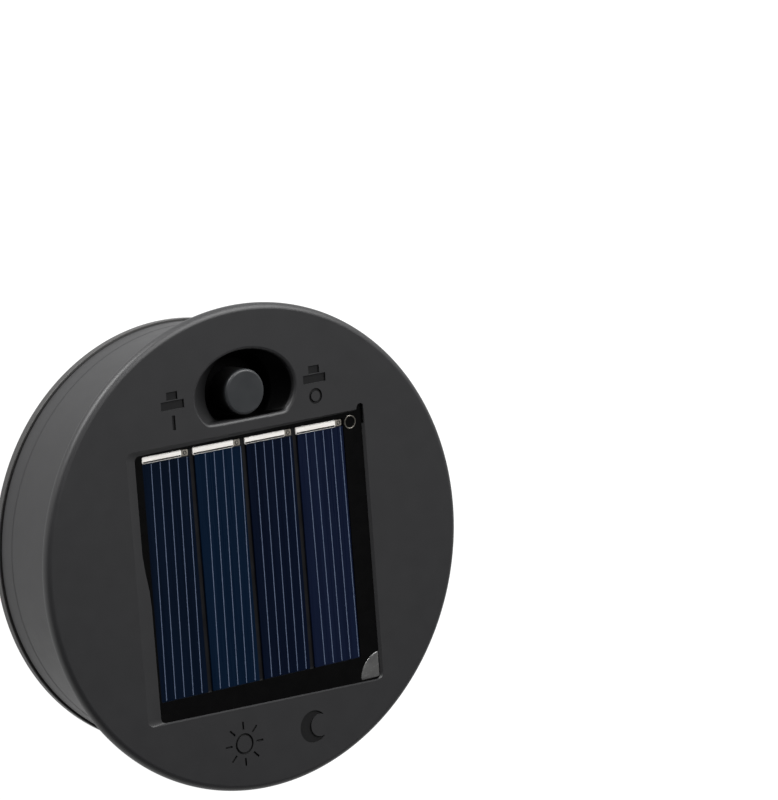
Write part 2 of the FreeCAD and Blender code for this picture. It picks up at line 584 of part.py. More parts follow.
def make_panel():
    lead_hole = cylinder("bed_hole", "lead_hole_dia / 2", "panel_bed", "lead_hole_x", "lead_hole_y",
                         "tray_z")
    bed = cut("panel_adhesive", block("bed_blank", "panel_wide - 2 * bed_inset",
                                      "panel_long - 2 * bed_inset", "panel_bed", "panel_x",
                                      "panel_y", "tray_z"), lead_hole)
    board = block("panel_board", "panel_wide", "panel_long", "panel_thick", "panel_x", "panel_y",
                  "panel_low_z")
    cells, bars = [], []
    for k in range(4):
        x = "cells_x + (%s) * (cell_wide + cell_split)" % (k - 1.5)
        cells.append(block("solar_cell_%d" % (k + 1), "cell_wide", "cells_long", "cell_thick", x,
                           "cells_y", "panel_top_z"))
        bars.append(block("busbar_%d" % (k + 1), "cell_wide", "busbar_wide", "busbar_thick", x,
                          "busbar_y", "panel_top_z"))
    resin_tall = "cell_thick + resin_over"
    opening = block("resin_opening", "cells_wide + 2 * resin_gap",
                    "cells_long + busbar_wide + 2 * resin_gap", resin_tall + " + 1", "cells_x",
                    "cells_y + busbar_wide / 2", "panel_top_z - 0.5")
    eyelet_hole = cylinder("eyelet_hole", "eyelet_dia / 2 + resin_gap", resin_tall + " + 1",
                           "eyelet_x", "eyelet_y", "panel_top_z - 0.5")
    glue_hole = block("glue_hole", "glue_wide + 2 * resin_gap", "glue_long + 2 * resin_gap",
                      resin_tall + " + 1", "glue_x", "glue_y", "panel_top_z - 0.5")
    slab = block("resin_slab", "pocket_wide - 2 * resin_gap", "pocket_long - 2 * resin_gap",
                 resin_tall, "panel_x", "panel_y", "panel_top_z")
    tab = block("resin_tab", "notch_wide - 2 * resin_gap", "notch_long", resin_tall, "notch_x",
                "pocket_top_y + notch_long / 2 - 2 * resin_gap", "panel_top_z")
    resin = cut("panel_resin", fuse("resin_blank", slab, tab), opening, eyelet_hole, glue_hole)
    eyelet = cut("panel_eyelet",
                 cylinder("eyelet_ring", "eyelet_dia / 2", resin_tall + " + eyelet_proud", "eyelet_x",
                          "eyelet_y", "panel_top_z"),
                 cylinder("eyelet_bore_rod", "eyelet_bore / 2", resin_tall + " + eyelet_proud",
                          "eyelet_x", "eyelet_y", "panel_top_z"))
    glue = block("corner_glue", "glue_wide - 2 * resin_gap", "glue_long - 2 * resin_gap",
                 "glue_thick", "glue_x", "glue_y", "panel_top_z")
    return [bed, board, *cells, *bars, resin, eyelet, glue]


def wire(name, points):
    """A round lead along straight runs joined by tangent arcs."""
    corners = [V(*point) for point in points]
    edges, start = [], corners[0]
    for before, corner, after in zip(corners, corners[1:], corners[2:]):
        run_in, run_out = corner - before, after - corner
        step = 0.45 * min(run_in.Length, run_out.Length)
        half_turn = run_in.getAngle(run_out) / 2
        first = corner - run_in.normalize() * step
        last = corner + run_out.normalize() * step
        radius = step / math.tan(half_turn)
        side = (last - corner + first - corner).normalize()
        middle = corner + side * (radius / math.cos(half_turn) - radius)
        edges += [Part.LineSegment(start, first).toShape(), Part.Arc(first, middle, last).toShape()]
        start = last
        print("%s bend radius %.1f" % (name, radius))
    edges.append(Part.LineSegment(start, corners[-1]).toShape())
    path = Part.Wire(edges)
    ring = Part.Wire(Part.makeCircle(value("wire_dia") / 2, corners[0], corners[1] - corners[0]))
    sweep = Part.BRepOffsetAPI.MakePipeShell(path)
    sweep.add(ring)
    sweep.build()
    sweep.makeSolid()
    lead = DOC.addObject("Part::Feature", name)
    lead.Shape = sweep.shape()
    expected = path.Length * math.pi * (value("wire_dia") / 2) ** 2
    if abs(lead.Shape.Volume / expected - 1) > 0.02:
        raise ValueError("%s: volume is not section times length" % name)
    return lead


def make_wires():
    board, cell_y = value("control_top_z"), value("battery_y")
    contact_top = value("holder_floor_z") + value("contact_size")
    thin = value("contact_thick") / 2
    cell_top = value("battery_z") + value("battery_dia") / 2
    crest = cell_top + 0.56 * (value("tray_under_z") - cell_top)
    pad_x, pad_y = value("control_wide") / 2 - 2.0, value("control_deep") / 2 - 1.9
    leads = []
    for name, end_x, side in (("battery_wire_plus", value("plus_x") + thin, 1),
                              ("battery_wire_minus", value("minus_x") - thin, -1)):
        leads.append(wire(name, [
            (end_x, cell_y, contact_top), (end_x, cell_y, cell_top + 0.9),
            (side * 21.8, cell_y + 2.3, crest), (side * 16.5, cell_y + 6.3, crest),
            (side * (pad_x + 1.5), -pad_y, crest - 3.6), (side * pad_x, -pad_y, board + 4.7),
            (side * pad_x, -pad_y, board)]))
    hole_x, hole_y, half = value("lead_hole_x"), value("lead_hole_y"), value("lead_pitch") / 2
    under_panel = value("panel_low_z")
    for name, x, end_x in (("panel_wire_plus", hole_x - half, pad_x - 1.9),
                           ("panel_wire_minus", hole_x + half, pad_x + 0.5)):
        leads.append(wire(name, [
            (x, hole_y, under_panel), (x, hole_y, under_panel - 4.6),
            (x - 2.8, hole_y - 2.6, under_panel - 8.8), (end_x, pad_y, board + 4.6),
            (end_x, pad_y, board)]))
    solder_z, well_y = value("switch_low_z"), value("well_centre_y")
    solder_x = value("switch_board_wide") / 2 - 1.1
    for name, y, rise, end_x in (("switch_wire_1", well_y - 1.6, 4.0, pad_x + 0.5),
                                 ("switch_wire_2", well_y + 1.1, 4.2, pad_x - 1.9)):
        leads.append(wire(name, [
            (-solder_x, y, solder_z), (-solder_x, y, solder_z + rise),
            (-(solder_x + end_x) / 2, y - 4.8, solder_z + rise + 2.8),
            (-end_x - 0.3, pad_y + 6.5, solder_z + rise + 2.4),
            (-end_x, pad_y, board + 5.4), (-end_x, pad_y, board)]))
    return leads


def check_document():
    for thing in DOC.Objects:
        if "Invalid" in thing.State or "Error" in thing.State:
            raise ValueError("%s failed: %s" % (thing.Name, thing.State))


def write_parts(nodes):
    os.makedirs("parts", exist_ok=True)
    for node in nodes:
        shape = node.Shape
        if shape.isNull() or not shape.isValid() or not shape.Solids:
            raise ValueError("%s has no sound shape" % node.Label)
        shape.exportStep("parts/%s.step" % node.Label)
        print("%-20s %d solid(s) %.1f mm3" % (node.Label, len(shape.Solids), shape.Volume))


fill_sheets()
NODES = []
for make in (make_top_housing, make_bottom_cover, make_cover_screws, make_button, make_switch,
             make_lens, make_control_board, make_battery, make_panel, make_wires):
    NODES += make()
DOC.recompute()
check_document()
write_parts(NODES)
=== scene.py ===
import math

import bmesh
import bpy
from mathutils import Matrix, Vector


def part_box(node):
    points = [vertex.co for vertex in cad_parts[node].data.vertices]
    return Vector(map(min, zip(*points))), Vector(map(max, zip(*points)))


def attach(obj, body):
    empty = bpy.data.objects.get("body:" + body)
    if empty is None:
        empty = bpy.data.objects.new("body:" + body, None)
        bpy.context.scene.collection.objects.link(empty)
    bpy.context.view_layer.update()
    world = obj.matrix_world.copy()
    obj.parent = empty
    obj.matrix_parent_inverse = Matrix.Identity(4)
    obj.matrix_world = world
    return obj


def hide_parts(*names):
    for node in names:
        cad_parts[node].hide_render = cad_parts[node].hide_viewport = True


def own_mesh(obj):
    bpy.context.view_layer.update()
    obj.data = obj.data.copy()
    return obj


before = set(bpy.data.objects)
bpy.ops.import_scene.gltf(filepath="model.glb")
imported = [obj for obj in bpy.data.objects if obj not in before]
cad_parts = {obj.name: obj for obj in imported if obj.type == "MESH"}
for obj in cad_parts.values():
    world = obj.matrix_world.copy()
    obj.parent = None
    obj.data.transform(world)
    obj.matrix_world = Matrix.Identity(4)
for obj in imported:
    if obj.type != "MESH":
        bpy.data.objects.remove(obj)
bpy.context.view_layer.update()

mm = 0.001


# ---------------------------------------------------------------------------------------------
# Studio: the light stands on its LED cover on a pale table, which shows only its upper side and is
# open under the cover. The camera looks down on the solar face, turned so that the button is
# uppermost.

table_steps = 96
table_hole, table_reach = 35.4 * mm, 5
table_edge = []
for reach in (table_hole, table_reach):
    for k in range(table_steps):
        turn = math.tau * k / table_steps
        table_edge.append((reach * math.cos(turn), reach * math.sin(turn), 0))
table_sheet = bpy.data.meshes.new("table_top")
table_sheet.from_pydata(table_edge, [], [
    (k, k + table_steps, (k + 1) % table_steps + table_steps, (k + 1) % table_steps)
    for k in range(table_steps)])
table_top = bpy.data.objects.new("table_top", table_sheet)
bpy.context.scene.collection.objects.link(table_top)

camera_data = bpy.data.cameras.new("camera")
camera_data.lens = 206.5
camera_data.clip_end = 20
camera = bpy.data.objects.new("camera", camera_data)
bpy.context.scene.collection.objects.link(camera)
bpy.context.scene.camera = camera
camera_eye = Vector((-398.7, 148.9, 635.9)) * mm
camera_aim = Vector((28.0, 20.0, 23.5)) * mm
camera_roll = math.radians(99.5)
camera.rotation_euler = ((camera_aim - camera_eye).to_track_quat("-Z", "Y").to_matrix()
                         @ Matrix.Rotation(camera_roll, 3, "Z")).to_euler()
camera.location = camera_eye


# ---------------------------------------------------------------------------------------------
# Shader tools, first used by the table: a socket that takes Python's operators, and a finish that
# holds one material, adds any node by one call, and puts constants on the shader itself.

class Wire:
    """An output socket in a finish's node tree."""

    def __init__(self, finish, socket):
        self.finish = finish
        self.socket = socket

    def maths(self, operation, first, second):
        return self.finish.node("Math", {"operation": operation}, {0: first, 1: second})

    def __add__(self, other):
        return self.maths("ADD", self, other)

    def __radd__(self, other):
        return self.maths("ADD", other, self)

    def __sub__(self, other):
        return self.maths("SUBTRACT", self, other)

    def __rsub__(self, other):
        return self.maths("SUBTRACT", other, self)

    def __mul__(self, other):
        return self.maths("MULTIPLY", self, other)

    def __rmul__(self, other):
        return self.maths("MULTIPLY", other, self)

    def lesser(self, other):
        return self.maths("MINIMUM", self, other)

    def __gt__(self, other):
        return self.maths("GREATER_THAN", self, other)

    def __lt__(self, other):
        return self.maths("LESS_THAN", self, other)


class Nodes:
    """A node tree, and the shader in it that the links feed."""

    def __init__(self, tree, shader):
        self.tree = tree
        self.shader = tree.nodes[shader]

    def node(self, kind, settings=None, inputs=None, out=0):
        made = self.tree.nodes.new("ShaderNode" + kind)
        for key, setting in (settings or {}).items():
            if key == "stops":
                ramp = made.color_ramp
                while len(ramp.elements) < len(setting):
                    ramp.elements.new(0.5)
                for stop, (position, colour) in zip(ramp.elements, setting):
                    stop.position = position
                    stop.color = (*colour, 1)
            else:
                setattr(made, key, setting)
        for key, content in (inputs or {}).items():
            if isinstance(content, Wire):
                self.tree.links.new(content.socket, made.inputs[key])
            else:
                made.inputs[key].default_value = content
        return Wire(self, made.outputs[out])

    def spot(self):
        """Where a point of the surface is on the light, in metres."""
        return self.node("TexCoord", out="Object")

    def parts(self, vector):
        """The x, y and z of a vector."""
        split = self.node("SeparateXYZ", None, {0: vector}).socket.node
        return [Wire(self, part) for part in split.outputs]

    def noise(self, size, detail=2.0, stretch=(1, 1, 1)):
        """Cloudy values from 0 to 1 whose lumps are about as large as size, in metres."""
        scaled = self.node("VectorMath", {"operation": "MULTIPLY"},
                           {0: self.spot(), 1: stretch})
        return self.node("TexNoise", None, {"Vector": scaled, "Scale": 1 / size, "Detail": detail})

    def between(self, low, high, factor):
        """A number that runs from low to high as factor runs from 0 to 1."""
        return factor * (high - low) + low

    def blend(self, factor, first, second):
        return self.node("Mix", {"data_type": "RGBA"}, {0: factor, 6: first, 7: second}, out=2)

    def bump(self, height, depth, strength=1.0):
        return self.node("Bump", None, {"Height": height, "Distance": depth, "Strength": strength})

    def feed(self, **links):
        for socket, wire in links.items():
            self.tree.links.new(wire.socket, self.shader.inputs[socket.replace("_", " ")])
        return self


class Finish(Nodes):
    """One material, named for what it is on the light."""

    def __init__(self, name, **constants):
        self.material = bpy.data.materials.new(name)
        self.material.use_nodes = True
        super().__init__(self.material.node_tree, "Principled BSDF")
        for socket, number in constants.items():
            self.shader.inputs[socket.replace("_", " ")].default_value = number


bpy.context.scene.view_settings.view_transform = "Standard"


def rgb(red, green, blue):
    """A colour given as it is seen on a screen, from 0 to 255."""
    def linear(level):
        level = level / 255
        return level / 12.92 if level <= 0.04045 else ((level + 0.055) / 1.055) ** 2.4
    return (linear(red), linear(green), linear(blue), 1)


table_finish = Finish("pale_table", Roughness=0.9, Specular_IOR_Level=0.1, Emission_Strength=1.0)
table_cloud = table_finish.noise(0.3)
table_finish.feed(
    Base_Color=table_finish.blend(table_cloud, (0.1, 0.1, 0.1, 1), (0.14, 0.14, 0.14, 1)),
    Emission_Color=table_finish.blend(table_cloud, (1.0, 1.0, 1.0, 1), (1.02, 1.02, 1.02, 1)))
backfacing = table_finish.node("NewGeometry", out=6)
upper_side = table_finish.node("MixShader", None, {
    0: backfacing, 1: Wire(table_finish, table_finish.shader.outputs[0]),
    2: table_finish.node("BsdfTransparent")})
table_finish.tree.links.new(upper_side.socket,
                            table_finish.tree.nodes["Material Output"].inputs["Surface"])
table_top.data.materials.append(table_finish.material)


# ---------------------------------------------------------------------------------------------
# Studio light: a pale wall all round and a dim ceiling, so that the flat face stays deep black. A
# broad lamp stands high behind the button, and a low one lights the drum's side.

studio_air = bpy.data.worlds.new("studio_air")
studio_air.use_nodes = True
bpy.context.scene.world = studio_air
air = Nodes(studio_air.node_tree, "Background")
looking_up = air.parts(air.node("TexCoord"))[2]
dimming = air.node("MapRange", {"interpolation_type": "SMOOTHSTEP"},
                   {"Value": looking_up, "From Min": 0.05, "From Max": 0.6})
air.feed(Color=air.blend(dimming, (0.74, 0.74, 0.74, 1), (0.1, 0.1, 0.105, 1)))


def soft_lamp(name, place, aim, side, watts):
    data = bpy.data.lights.new(name, "AREA")
    data.shape = "DISK"
    data.size = side
    data.energy = watts
    lamp = bpy.data.objects.new(name, data)
    lamp.location = place
    lamp.rotation_euler = (Vector(aim) - Vector(place)).to_track_quat("-Z", "Y").to_euler()
    bpy.context.scene.collection.objects.link(lamp)


soft_lamp("key_lamp", (0.6, 0.8, 0.85), (0, 0, 0.01), 1.1, 27)
soft_lamp("side_lamp", (-0.5, 1.02, 0.03), (0, 0, 0.01), 0.6, 30)


# ---------------------------------------------------------------------------------------------
# Top housing: one moulding of black ABS with a wide flange, a slightly tapered drum, the shallow
# tray for the solar panel and the oval well round the push button. Its upper edge is rounded, and
# screw bosses hang inside it.

housing_low, housing_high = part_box("top_housing")
face_z = housing_high[2]
flange_radius = housing_high[0]
flange_under = face_z - 1.5 * mm
flange_round = 1.1 * mm
root_round = 0.85 * mm
drum_radius_top = 35.0 * mm
drum_radius_mid = 35.2 * mm
drum_radius_low = 35.35 * mm
band_z = housing_low[2] + 3.2 * mm
drum_inner = 33.4 * mm
plate_under = face_z - 1.8 * mm
well_under = face_z - 5.8 * mm
tray_under = face_z - 3.4 * mm
around = 288
spare = 1 * mm


def arc(centre, radius, start, end, steps):
    """Points on an arc, angles in degrees."""
    points = []
    for k in range(steps + 1):
        angle = math.radians(start + (end - start) * k / steps)
        points.append((centre[0] + radius * math.cos(angle), centre[1] + radius * math.sin(angle)))
    return points


def new_piece(name, mesh_source, sharp=35):
    """An object from a bmesh, with smooth shading that keeps its sharp edges."""
    mesh = bpy.data.meshes.new(name)
    bmesh.ops.recalc_face_normals(mesh_source, faces=mesh_source.faces)
    mesh_source.to_mesh(mesh)
    mesh_source.free()
    mesh.shade_smooth()
    mesh.set_sharp_from_angle(angle=math.radians(sharp))
    piece = bpy.data.objects.new(name, mesh)
    bpy.context.scene.collection.objects.link(piece)
    return piece


def lathe(name, outline, steps=around, centre=(0, 0)):
    """A solid turned about a vertical axis from its outline of (radius, height) points."""
    shape = bmesh.new()
    rings = []
    for radius, height in outline:
        if radius < 1e-7:
            rings.append([shape.verts.new((centre[0], centre[1], height))])
            continue
        rings.append([shape.verts.new((centre[0] + radius * math.cos(math.tau * k / steps),
                                       centre[1] + radius * math.sin(math.tau * k / steps), height))
                      for k in range(steps)])
    for upper, lower in zip(rings, rings[1:] + rings[:1]):
        for k in range(steps):
            corners = [upper[k % len(upper)], upper[(k + 1) % len(upper)],
                       lower[(k + 1) % len(lower)], lower[k % len(lower)]]
            corners = [c for n, c in enumerate(corners) if c not in corners[:n]]
            if len(corners) > 2:
                shape.faces.new(corners)
    return new_piece(name, shape)


def stack(name, rings, sharp=35):
    """A solid through closed rings of (x, y, z) points, capped at both ends."""
    shape = bmesh.new()
    loops = [[shape.verts.new(point) for point in ring] for ring in rings]
    for lower, upper in zip(loops, loops[1:]):
        for k in range(len(lower)):
            after = (k + 1) % len(lower)
            shape.faces.new((lower[k], lower[after], upper[after], upper[k]))
    shape.faces.new(loops[0][::-1])
    shape.faces.new(loops[-1])
    return new_piece(name, shape, sharp)


def prism(name, points, low, high):
    """A solid that stands on a flat outline of (x, y) points."""
    return stack(name, [[(x, y, z) for x, y in points] for z in (low, high)])


def carve(piece, tools, operation="DIFFERENCE", sharp=35):
    """Cut the tools from a piece, or join them to it; the tools are used up. The cut is worked out
    in millimetres, because it loses faces at a thousandth of that."""
    for shape in [piece] + tools:
        shape.data.transform(Matrix.Scale(1 / mm, 4))
    for tool in tools:
        modifier = piece.modifiers.new("carve", "BOOLEAN")
        modifier.object = tool
        modifier.operation = operation
        modifier.solver = "EXACT"
    bpy.context.view_layer.update()
    ready = piece.evaluated_get(bpy.context.evaluated_depsgraph_get())
    mesh = bpy.data.meshes.new_from_object(ready)
    mesh.transform(Matrix.Scale(mm, 4))
    piece.modifiers.clear()
    piece.data = mesh
    for tool in tools:
        bpy.data.objects.remove(tool)
    mesh.shade_smooth()
    mesh.set_sharp_from_angle(angle=math.radians(sharp))
    return piece


def even_normals(piece):
    """Let the large faces rule the shading at rounded edges."""
    modifier = piece.modifiers.new("even_normals", "WEIGHTED_NORMAL")
    modifier.keep_sharp = True
    modifier.weight = 80


housing_outline = (
    [(0, plate_under), (drum_inner, plate_under), (drum_inner, housing_low[2])]
    + arc((drum_radius_low - 0.3 * mm, housing_low[2] + 0.3 * mm), 0.3 * mm, -90, 0, 4)
    + [(drum_radius_mid + 0.06 * mm, band_z - 0.1 * mm), (drum_radius_mid, band_z)]
    + arc((drum_radius_top + root_round, flange_under - root_round), root_round, 180, 90, 8)
    + arc((flange_radius - 0.12 * mm, flange_under + 0.12 * mm), 0.12 * mm, -90, 0, 3)
    + arc((flange_radius - flange_round, face_z - flange_round), flange_round, 0, 90, 12)
    + [(0, face_z)])
housing = lathe("housing_moulding", housing_outline)

well_y = 25.8 * mm
well_flat_y = 21.5 * mm


def well_ring(half_wide, half_high, height, flat_y=well_flat_y, steps=144):
    """An oval cut off flat towards the panel, with its two corners rounded."""
    soft = 0.45 * mm
    ring = []
    for k in range(steps):
        angle = math.tau * k / steps
        above = well_y + half_high * math.sin(angle) - flat_y
        ring.append((half_wide * math.cos(angle),
                     flat_y + 0.5 * (above + math.sqrt(above * above + soft * soft)), height))
    return ring


def rounded_mouth(half_wide, half_high, radius, steps=6):
    """Rings that round the well's upper edge."""
    rings = []
    for k in range(steps + 1):
        lean = math.pi / 2 * k / steps
        out = radius * (1 - math.sin(lean))
        rings.append(well_ring(half_wide + out, half_high + out,
                               face_z - radius * (1 - math.cos(lean)), well_flat_y - out))
    return rings


mouth_half_wide, mouth_half_high, mouth_round = 9.6 * mm, 6.9 * mm, 0.5 * mm
# Half width, half height and depth of each step below the mouth, in mm.
well_steps = ((8.9, 6.75, 1.2), (6.5, 6.45, 2.25), (6.35, 6.35, 2.4), (5.2, 5.2, 4.6))
well_rings = [well_ring(mouth_half_wide + 0.65 * mm, mouth_half_high + 0.6 * mm, face_z + spare,
                        well_flat_y - mouth_round)]
well_rings += rounded_mouth(mouth_half_wide, mouth_half_high, mouth_round)
well_rings += [well_ring(half_wide * mm, half_high * mm, face_z - deep * mm)
               for half_wide, half_high, deep in well_steps]
well_tool = stack("well_tool", well_rings[::-1])
button_hole = 3.85 * mm
button_tool = lathe("button_tool", [(0, well_under - spare), (button_hole, well_under - spare),
                                    (button_hole, face_z), (0, face_z)], 96, (0, well_y))

board_low, board_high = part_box("panel_board")
resin_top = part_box("panel_resin")[1][2]
tray_floor = board_low[2] - 0.3 * mm
lip_under = board_high[2] + 0.03 * mm
board_gap = 0.2 * mm
tray_left, tray_right = board_low[0] - board_gap, board_high[0] + board_gap
tray_low, tray_high = board_low[1] - board_gap, board_high[1] + board_gap
resin_creep, resin_dip = 0.95 * mm, 0.6 * mm
creep_start, creep_tall = 3 * mm, 9 * mm


def tray_ring(left, right, low, high, corner, height, lean=0, steps=8, low_lean=None):
    """A rectangle with rounded corners whose sides are cut into short runs. With a lean, its left
    side moves in below the middle, and its top and bottom slant, as the resin's edge does. The
    bottom may have a lean of its own."""
    low_lean = lean if low_lean is None else low_lean
    runs = 14
    spots = []
    for x, y, start in ((right - corner, high - corner, 0), (left + corner, high - corner, 90),
                        (left + corner, low + corner, 180), (right - corner, low + corner, 270)):
        turn = arc((x, y), corner, start, start + 90, steps)
        if spots:
            last, first = Vector(spots[-1]), Vector(turn[0])
            spots += [tuple(last.lerp(first, k / runs)) for k in range(1, runs)]
        spots += turn
    ring = []
    for x, y in spots:
        across = (right - x) / (right - left)
        fall = min(max((creep_start - y) / creep_tall, 0), 1)
        fall = fall * fall * (3 - 2 * fall)
        up = (y - low) / (high - low)
        shift_x = lean * fall * across * resin_creep
        shift_y = across * (low_lean * (1 - up) * resin_creep - lean * up * resin_dip)
        ring.append((x + shift_x, y + shift_y, height))
    return ring


def tray_tool_rings():
    """The tray from its floor up: straight walls round the board, a lip over the board's edge, and
    a soft slope up to the face, broad on the left and narrow on the right."""
    walls = (tray_left, tray_right, tray_low, tray_high)
    outer = [wall + out * mm for wall, out in zip(walls, (-0.5, 0.5, -0.82, 0.6))]
    inner = [wall + out * mm for wall, out in zip(walls, (1.35, 0.15, -0.7, 0.35))]
    wall_corner, inner_corner, outer_corner = 0.5 * mm, 0.9 * mm, 1.2 * mm
    rings = [tray_ring(*walls, wall_corner, tray_floor),
             tray_ring(*walls, wall_corner, lip_under),
             tray_ring(*inner, inner_corner, lip_under + 0.01 * mm, 1),
             tray_ring(*inner, inner_corner, resin_top - 0.02 * mm, 1)]
    for share in (0.12, 0.3, 0.5, 0.7, 0.86, 0.95, 1.0):
        sides = [a + (b - a) * share for a, b in zip(inner, outer)]
        corner = inner_corner + (outer_corner - inner_corner) * share
        height = resin_top + (face_z - resin_top) * share ** 1.3
        rings.append(tray_ring(*sides, corner, height, 1 - share, low_lean=1))
    rings.append(tray_ring(*outer, outer_corner, face_z + spare, low_lean=1))
    return rings


tray_tool = stack("tray_tool", tray_tool_rings())
notch_points = [(20.7 * mm, 17.0 * mm), (22.75 * mm, 17.0 * mm), (22.7 * mm, 20.2 * mm),
                (22.3 * mm, 20.45 * mm), (21.7 * mm, 20.35 * mm), (21.45 * mm, 20.0 * mm)]
notch_tool = prism("notch_tool", notch_points, tray_floor, face_z + spare)


def bar_tool(name, x0, x1, y0, y1, deep, turn=0, middle=(0, 0)):
    """A sunk rectangle in the face, turned about a middle by some degrees."""
    spin = Matrix.Rotation(math.radians(turn), 2)
    ring = []
    for x, y in ((x0, y0), (x1, y0), (x1, y1), (x0, y1)):
        spot = spin @ Vector((x * mm, y * mm)) + Vector(middle) * mm
        ring.append((spot.x, spot.y))
    return prism(name, ring, face_z - deep, face_z + spare)


def ring_tool(name, middle, outer, inner, deep, steps=64):
    """A sunk round groove in the face."""
    return lathe(name, [(inner * mm, face_z - deep), (outer * mm, face_z - deep),
                        (outer * mm, face_z + spare), (inner * mm, face_z + spare)], steps,
                 (middle[0] * mm, middle[1] * mm))


sunk = 0.22 * mm
off_middle, sun_middle, moon_middle = (13.5, 23.0), (-5.6, -31.6), (8.2, -31.5)
mark_tools = []
for side, x in (("left", -14.1), ("right", 13.5)):
    mark_tools.append(bar_tool("base_" + side, x - 2.2, x + 2.2, 25.2, 26.6, sunk))
    mark_tools.append(bar_tool("knob_" + side, x - 1.05, x + 1.05, 26.75, 28.05, sunk))
mark_tools.append(bar_tool("on_stroke", -14.4, -13.8, 21.8, 24.2, sunk))
mark_tools.append(ring_tool("off_ring", off_middle, 1.3, 0.85, sunk))
mark_tools.append(ring_tool("sun_ring", sun_middle, 1.75, 1.4, sunk))
for k in range(8):
    mark_tools.append(bar_tool("sun_ray_%d" % k, 2.35, 3.7, -0.17, 0.17, sunk, 45 * k, sun_middle))
moon_edge = arc((0, 0), 2.7, 40, 320, 40) + arc((1.35, 0), 1.88, 292, 68, 28)[1:-1]
moon_points = [((moon_middle[0] + x) * mm, (moon_middle[1] + y) * mm) for x, y in moon_edge]
mark_tools.append(prism("moon", moon_points, face_z - sunk, face_z + spare))

tray_wall = 1.2 * mm
tray_block_reach = 34.0 * mm
tray_block_points = []
for k in range(144):
    turn = math.tau * k / 144
    way_x, way_y = math.cos(turn), math.sin(turn)
    reach = tray_block_reach
    for way, low_side, high_side in ((way_x, tray_left - tray_wall, tray_right + tray_wall),
                                     (way_y, tray_low - tray_wall, tray_high + tray_wall)):
        if abs(way) > 1e-6:
            reach = min(reach, (high_side if way > 0 else low_side) / way)
    tray_block_points.append((reach * way_x, reach * way_y))
block_top = plate_under + 0.1 * mm
inner_blocks = [
    prism("tray_block", tray_block_points, tray_under, block_top),
    stack("well_block", [well_ring(10.9 * mm, 7.4 * mm, z, well_flat_y - 2 * mm)
                         for z in (well_under, block_top)])]


def tube(name, hole, outer, low, high, steps, centre):
    """An upright tube, its radii and steps given."""
    return lathe(name, [(hole, low), (outer, low), (outer, high), (hole, high)], steps, centre)


screw_angles = (30, 150, 270)


def screw_spot(angle):
    """Where a cover screw stands, for its angle in degrees."""
    screw_circle = 26.8 * mm
    turn = math.radians(angle)
    return screw_circle * math.cos(turn), screw_circle * math.sin(turn)


for angle in screw_angles:
    inner_blocks.append(tube("boss_%d" % angle, 1.15 * mm, 3.1 * mm, 3.9 * mm, block_top, 48,
                             screw_spot(angle)))
post_hole, post_radius = 0.9 * mm, 2.1 * mm
switch_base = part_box("switch_body")[0][2]
for side in (-1, 1):
    inner_blocks.append(tube("switch_post_%d" % side, post_hole, post_radius, switch_base,
                             well_under + 0.1 * mm, 40, (side * 8 * mm, well_y)))
crease = 32
carve(housing, inner_blocks, "UNION")
carve(housing, [tray_tool, notch_tool, well_tool, button_tool] + mark_tools, sharp=crease)
even_normals(housing)
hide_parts("top_housing")

housing_black = Finish("black_abs", Specular_IOR_Level=0.5, IOR=1.5)
grain = housing_black.noise(0.16 * mm, 3)
drift = housing_black.noise(14 * mm, 3)
scuff = housing_black.noise(3 * mm, 5)
across_face, up_face, above_foot = housing_black.parts(housing_black.spot())
face_black = housing_black.blend(drift, (0.0085, 0.0085, 0.0092, 1), (0.0115, 0.0115, 0.0125, 1))
# Painted shade: the inside of the well is painted near black, more so deeper down and towards its
# right, and the floors of the engraved marks are painted darker. Metallic carries the same painted
# shade into the reflections.
from_well = housing_black.node("VectorMath", {"operation": "DISTANCE"}, {
    0: housing_black.spot(), 1: (0, well_y, face_z - 2.5 * mm)}, out=1)
in_well = housing_black.node("MapRange", None, {
    "Value": from_well, "From Min": 10.3 * mm, "From Max": 9.9 * mm}) * (up_face < 33.6 * mm)
well_depth_shade = housing_black.node("MapRange", None, {
    "Value": above_foot, "From Min": face_z - 0.7 * mm, "From Max": face_z - 3.2 * mm})
below_mouth = housing_black.node("MapRange", None, {
    "Value": above_foot, "From Min": face_z - 0.35 * mm, "From Max": face_z - 0.8 * mm})
well_right_shade = below_mouth * housing_black.node("MapRange", {"interpolation_type": "SMOOTHSTEP"}, {
    "Value": across_face, "From Min": -6 * mm, "From Max": 5 * mm})
off_tray = ((up_face > tray_high + 0.9 * mm) + (up_face < tray_low - 1.5 * mm)).lesser(1)
off_edge = across_face * across_face + up_face * up_face < (38 * mm) ** 2
at_mark_floor = (above_foot < face_z - sunk * 0.6) * (above_foot > face_z - sunk * 1.5)
engraved_floor_shade = at_mark_floor * off_tray * off_edge * (1 - in_well)
painted_shade = (in_well * (well_depth_shade + well_right_shade).lesser(1) + engraved_floor_shade * 0.5).lesser(1)
housing_black.feed(
    Base_Color=housing_black.blend(painted_shade, face_black, (0.0012, 0.0012, 0.0012, 1)),
    Metallic=painted_shade * 0.95,
    Roughness=housing_black.between(0.42, 0.56, scuff * 0.6 + grain * 0.4),
    Normal=housing_black.bump(grain, 0.01 * mm, 0.5))


def coat(piece, finish):
    """Give a new piece of the fixed body its finish and the record's slot."""
    piece.data.materials.clear()
    piece.data.materials.append(finish.material)
    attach(piece, "root")


coat(housing, housing_black)


# ---------------------------------------------------------------------------------------------
# Panel board and its bed: a black epoxy board that carries the cells, stuck in the tray on a thin
# bed of silicone.

def dress(finish, *nodes):
    """Give carried-over CAD pieces a finish."""
    for node in nodes:
        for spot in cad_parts[node].material_slots:
            spot.material = finish.material


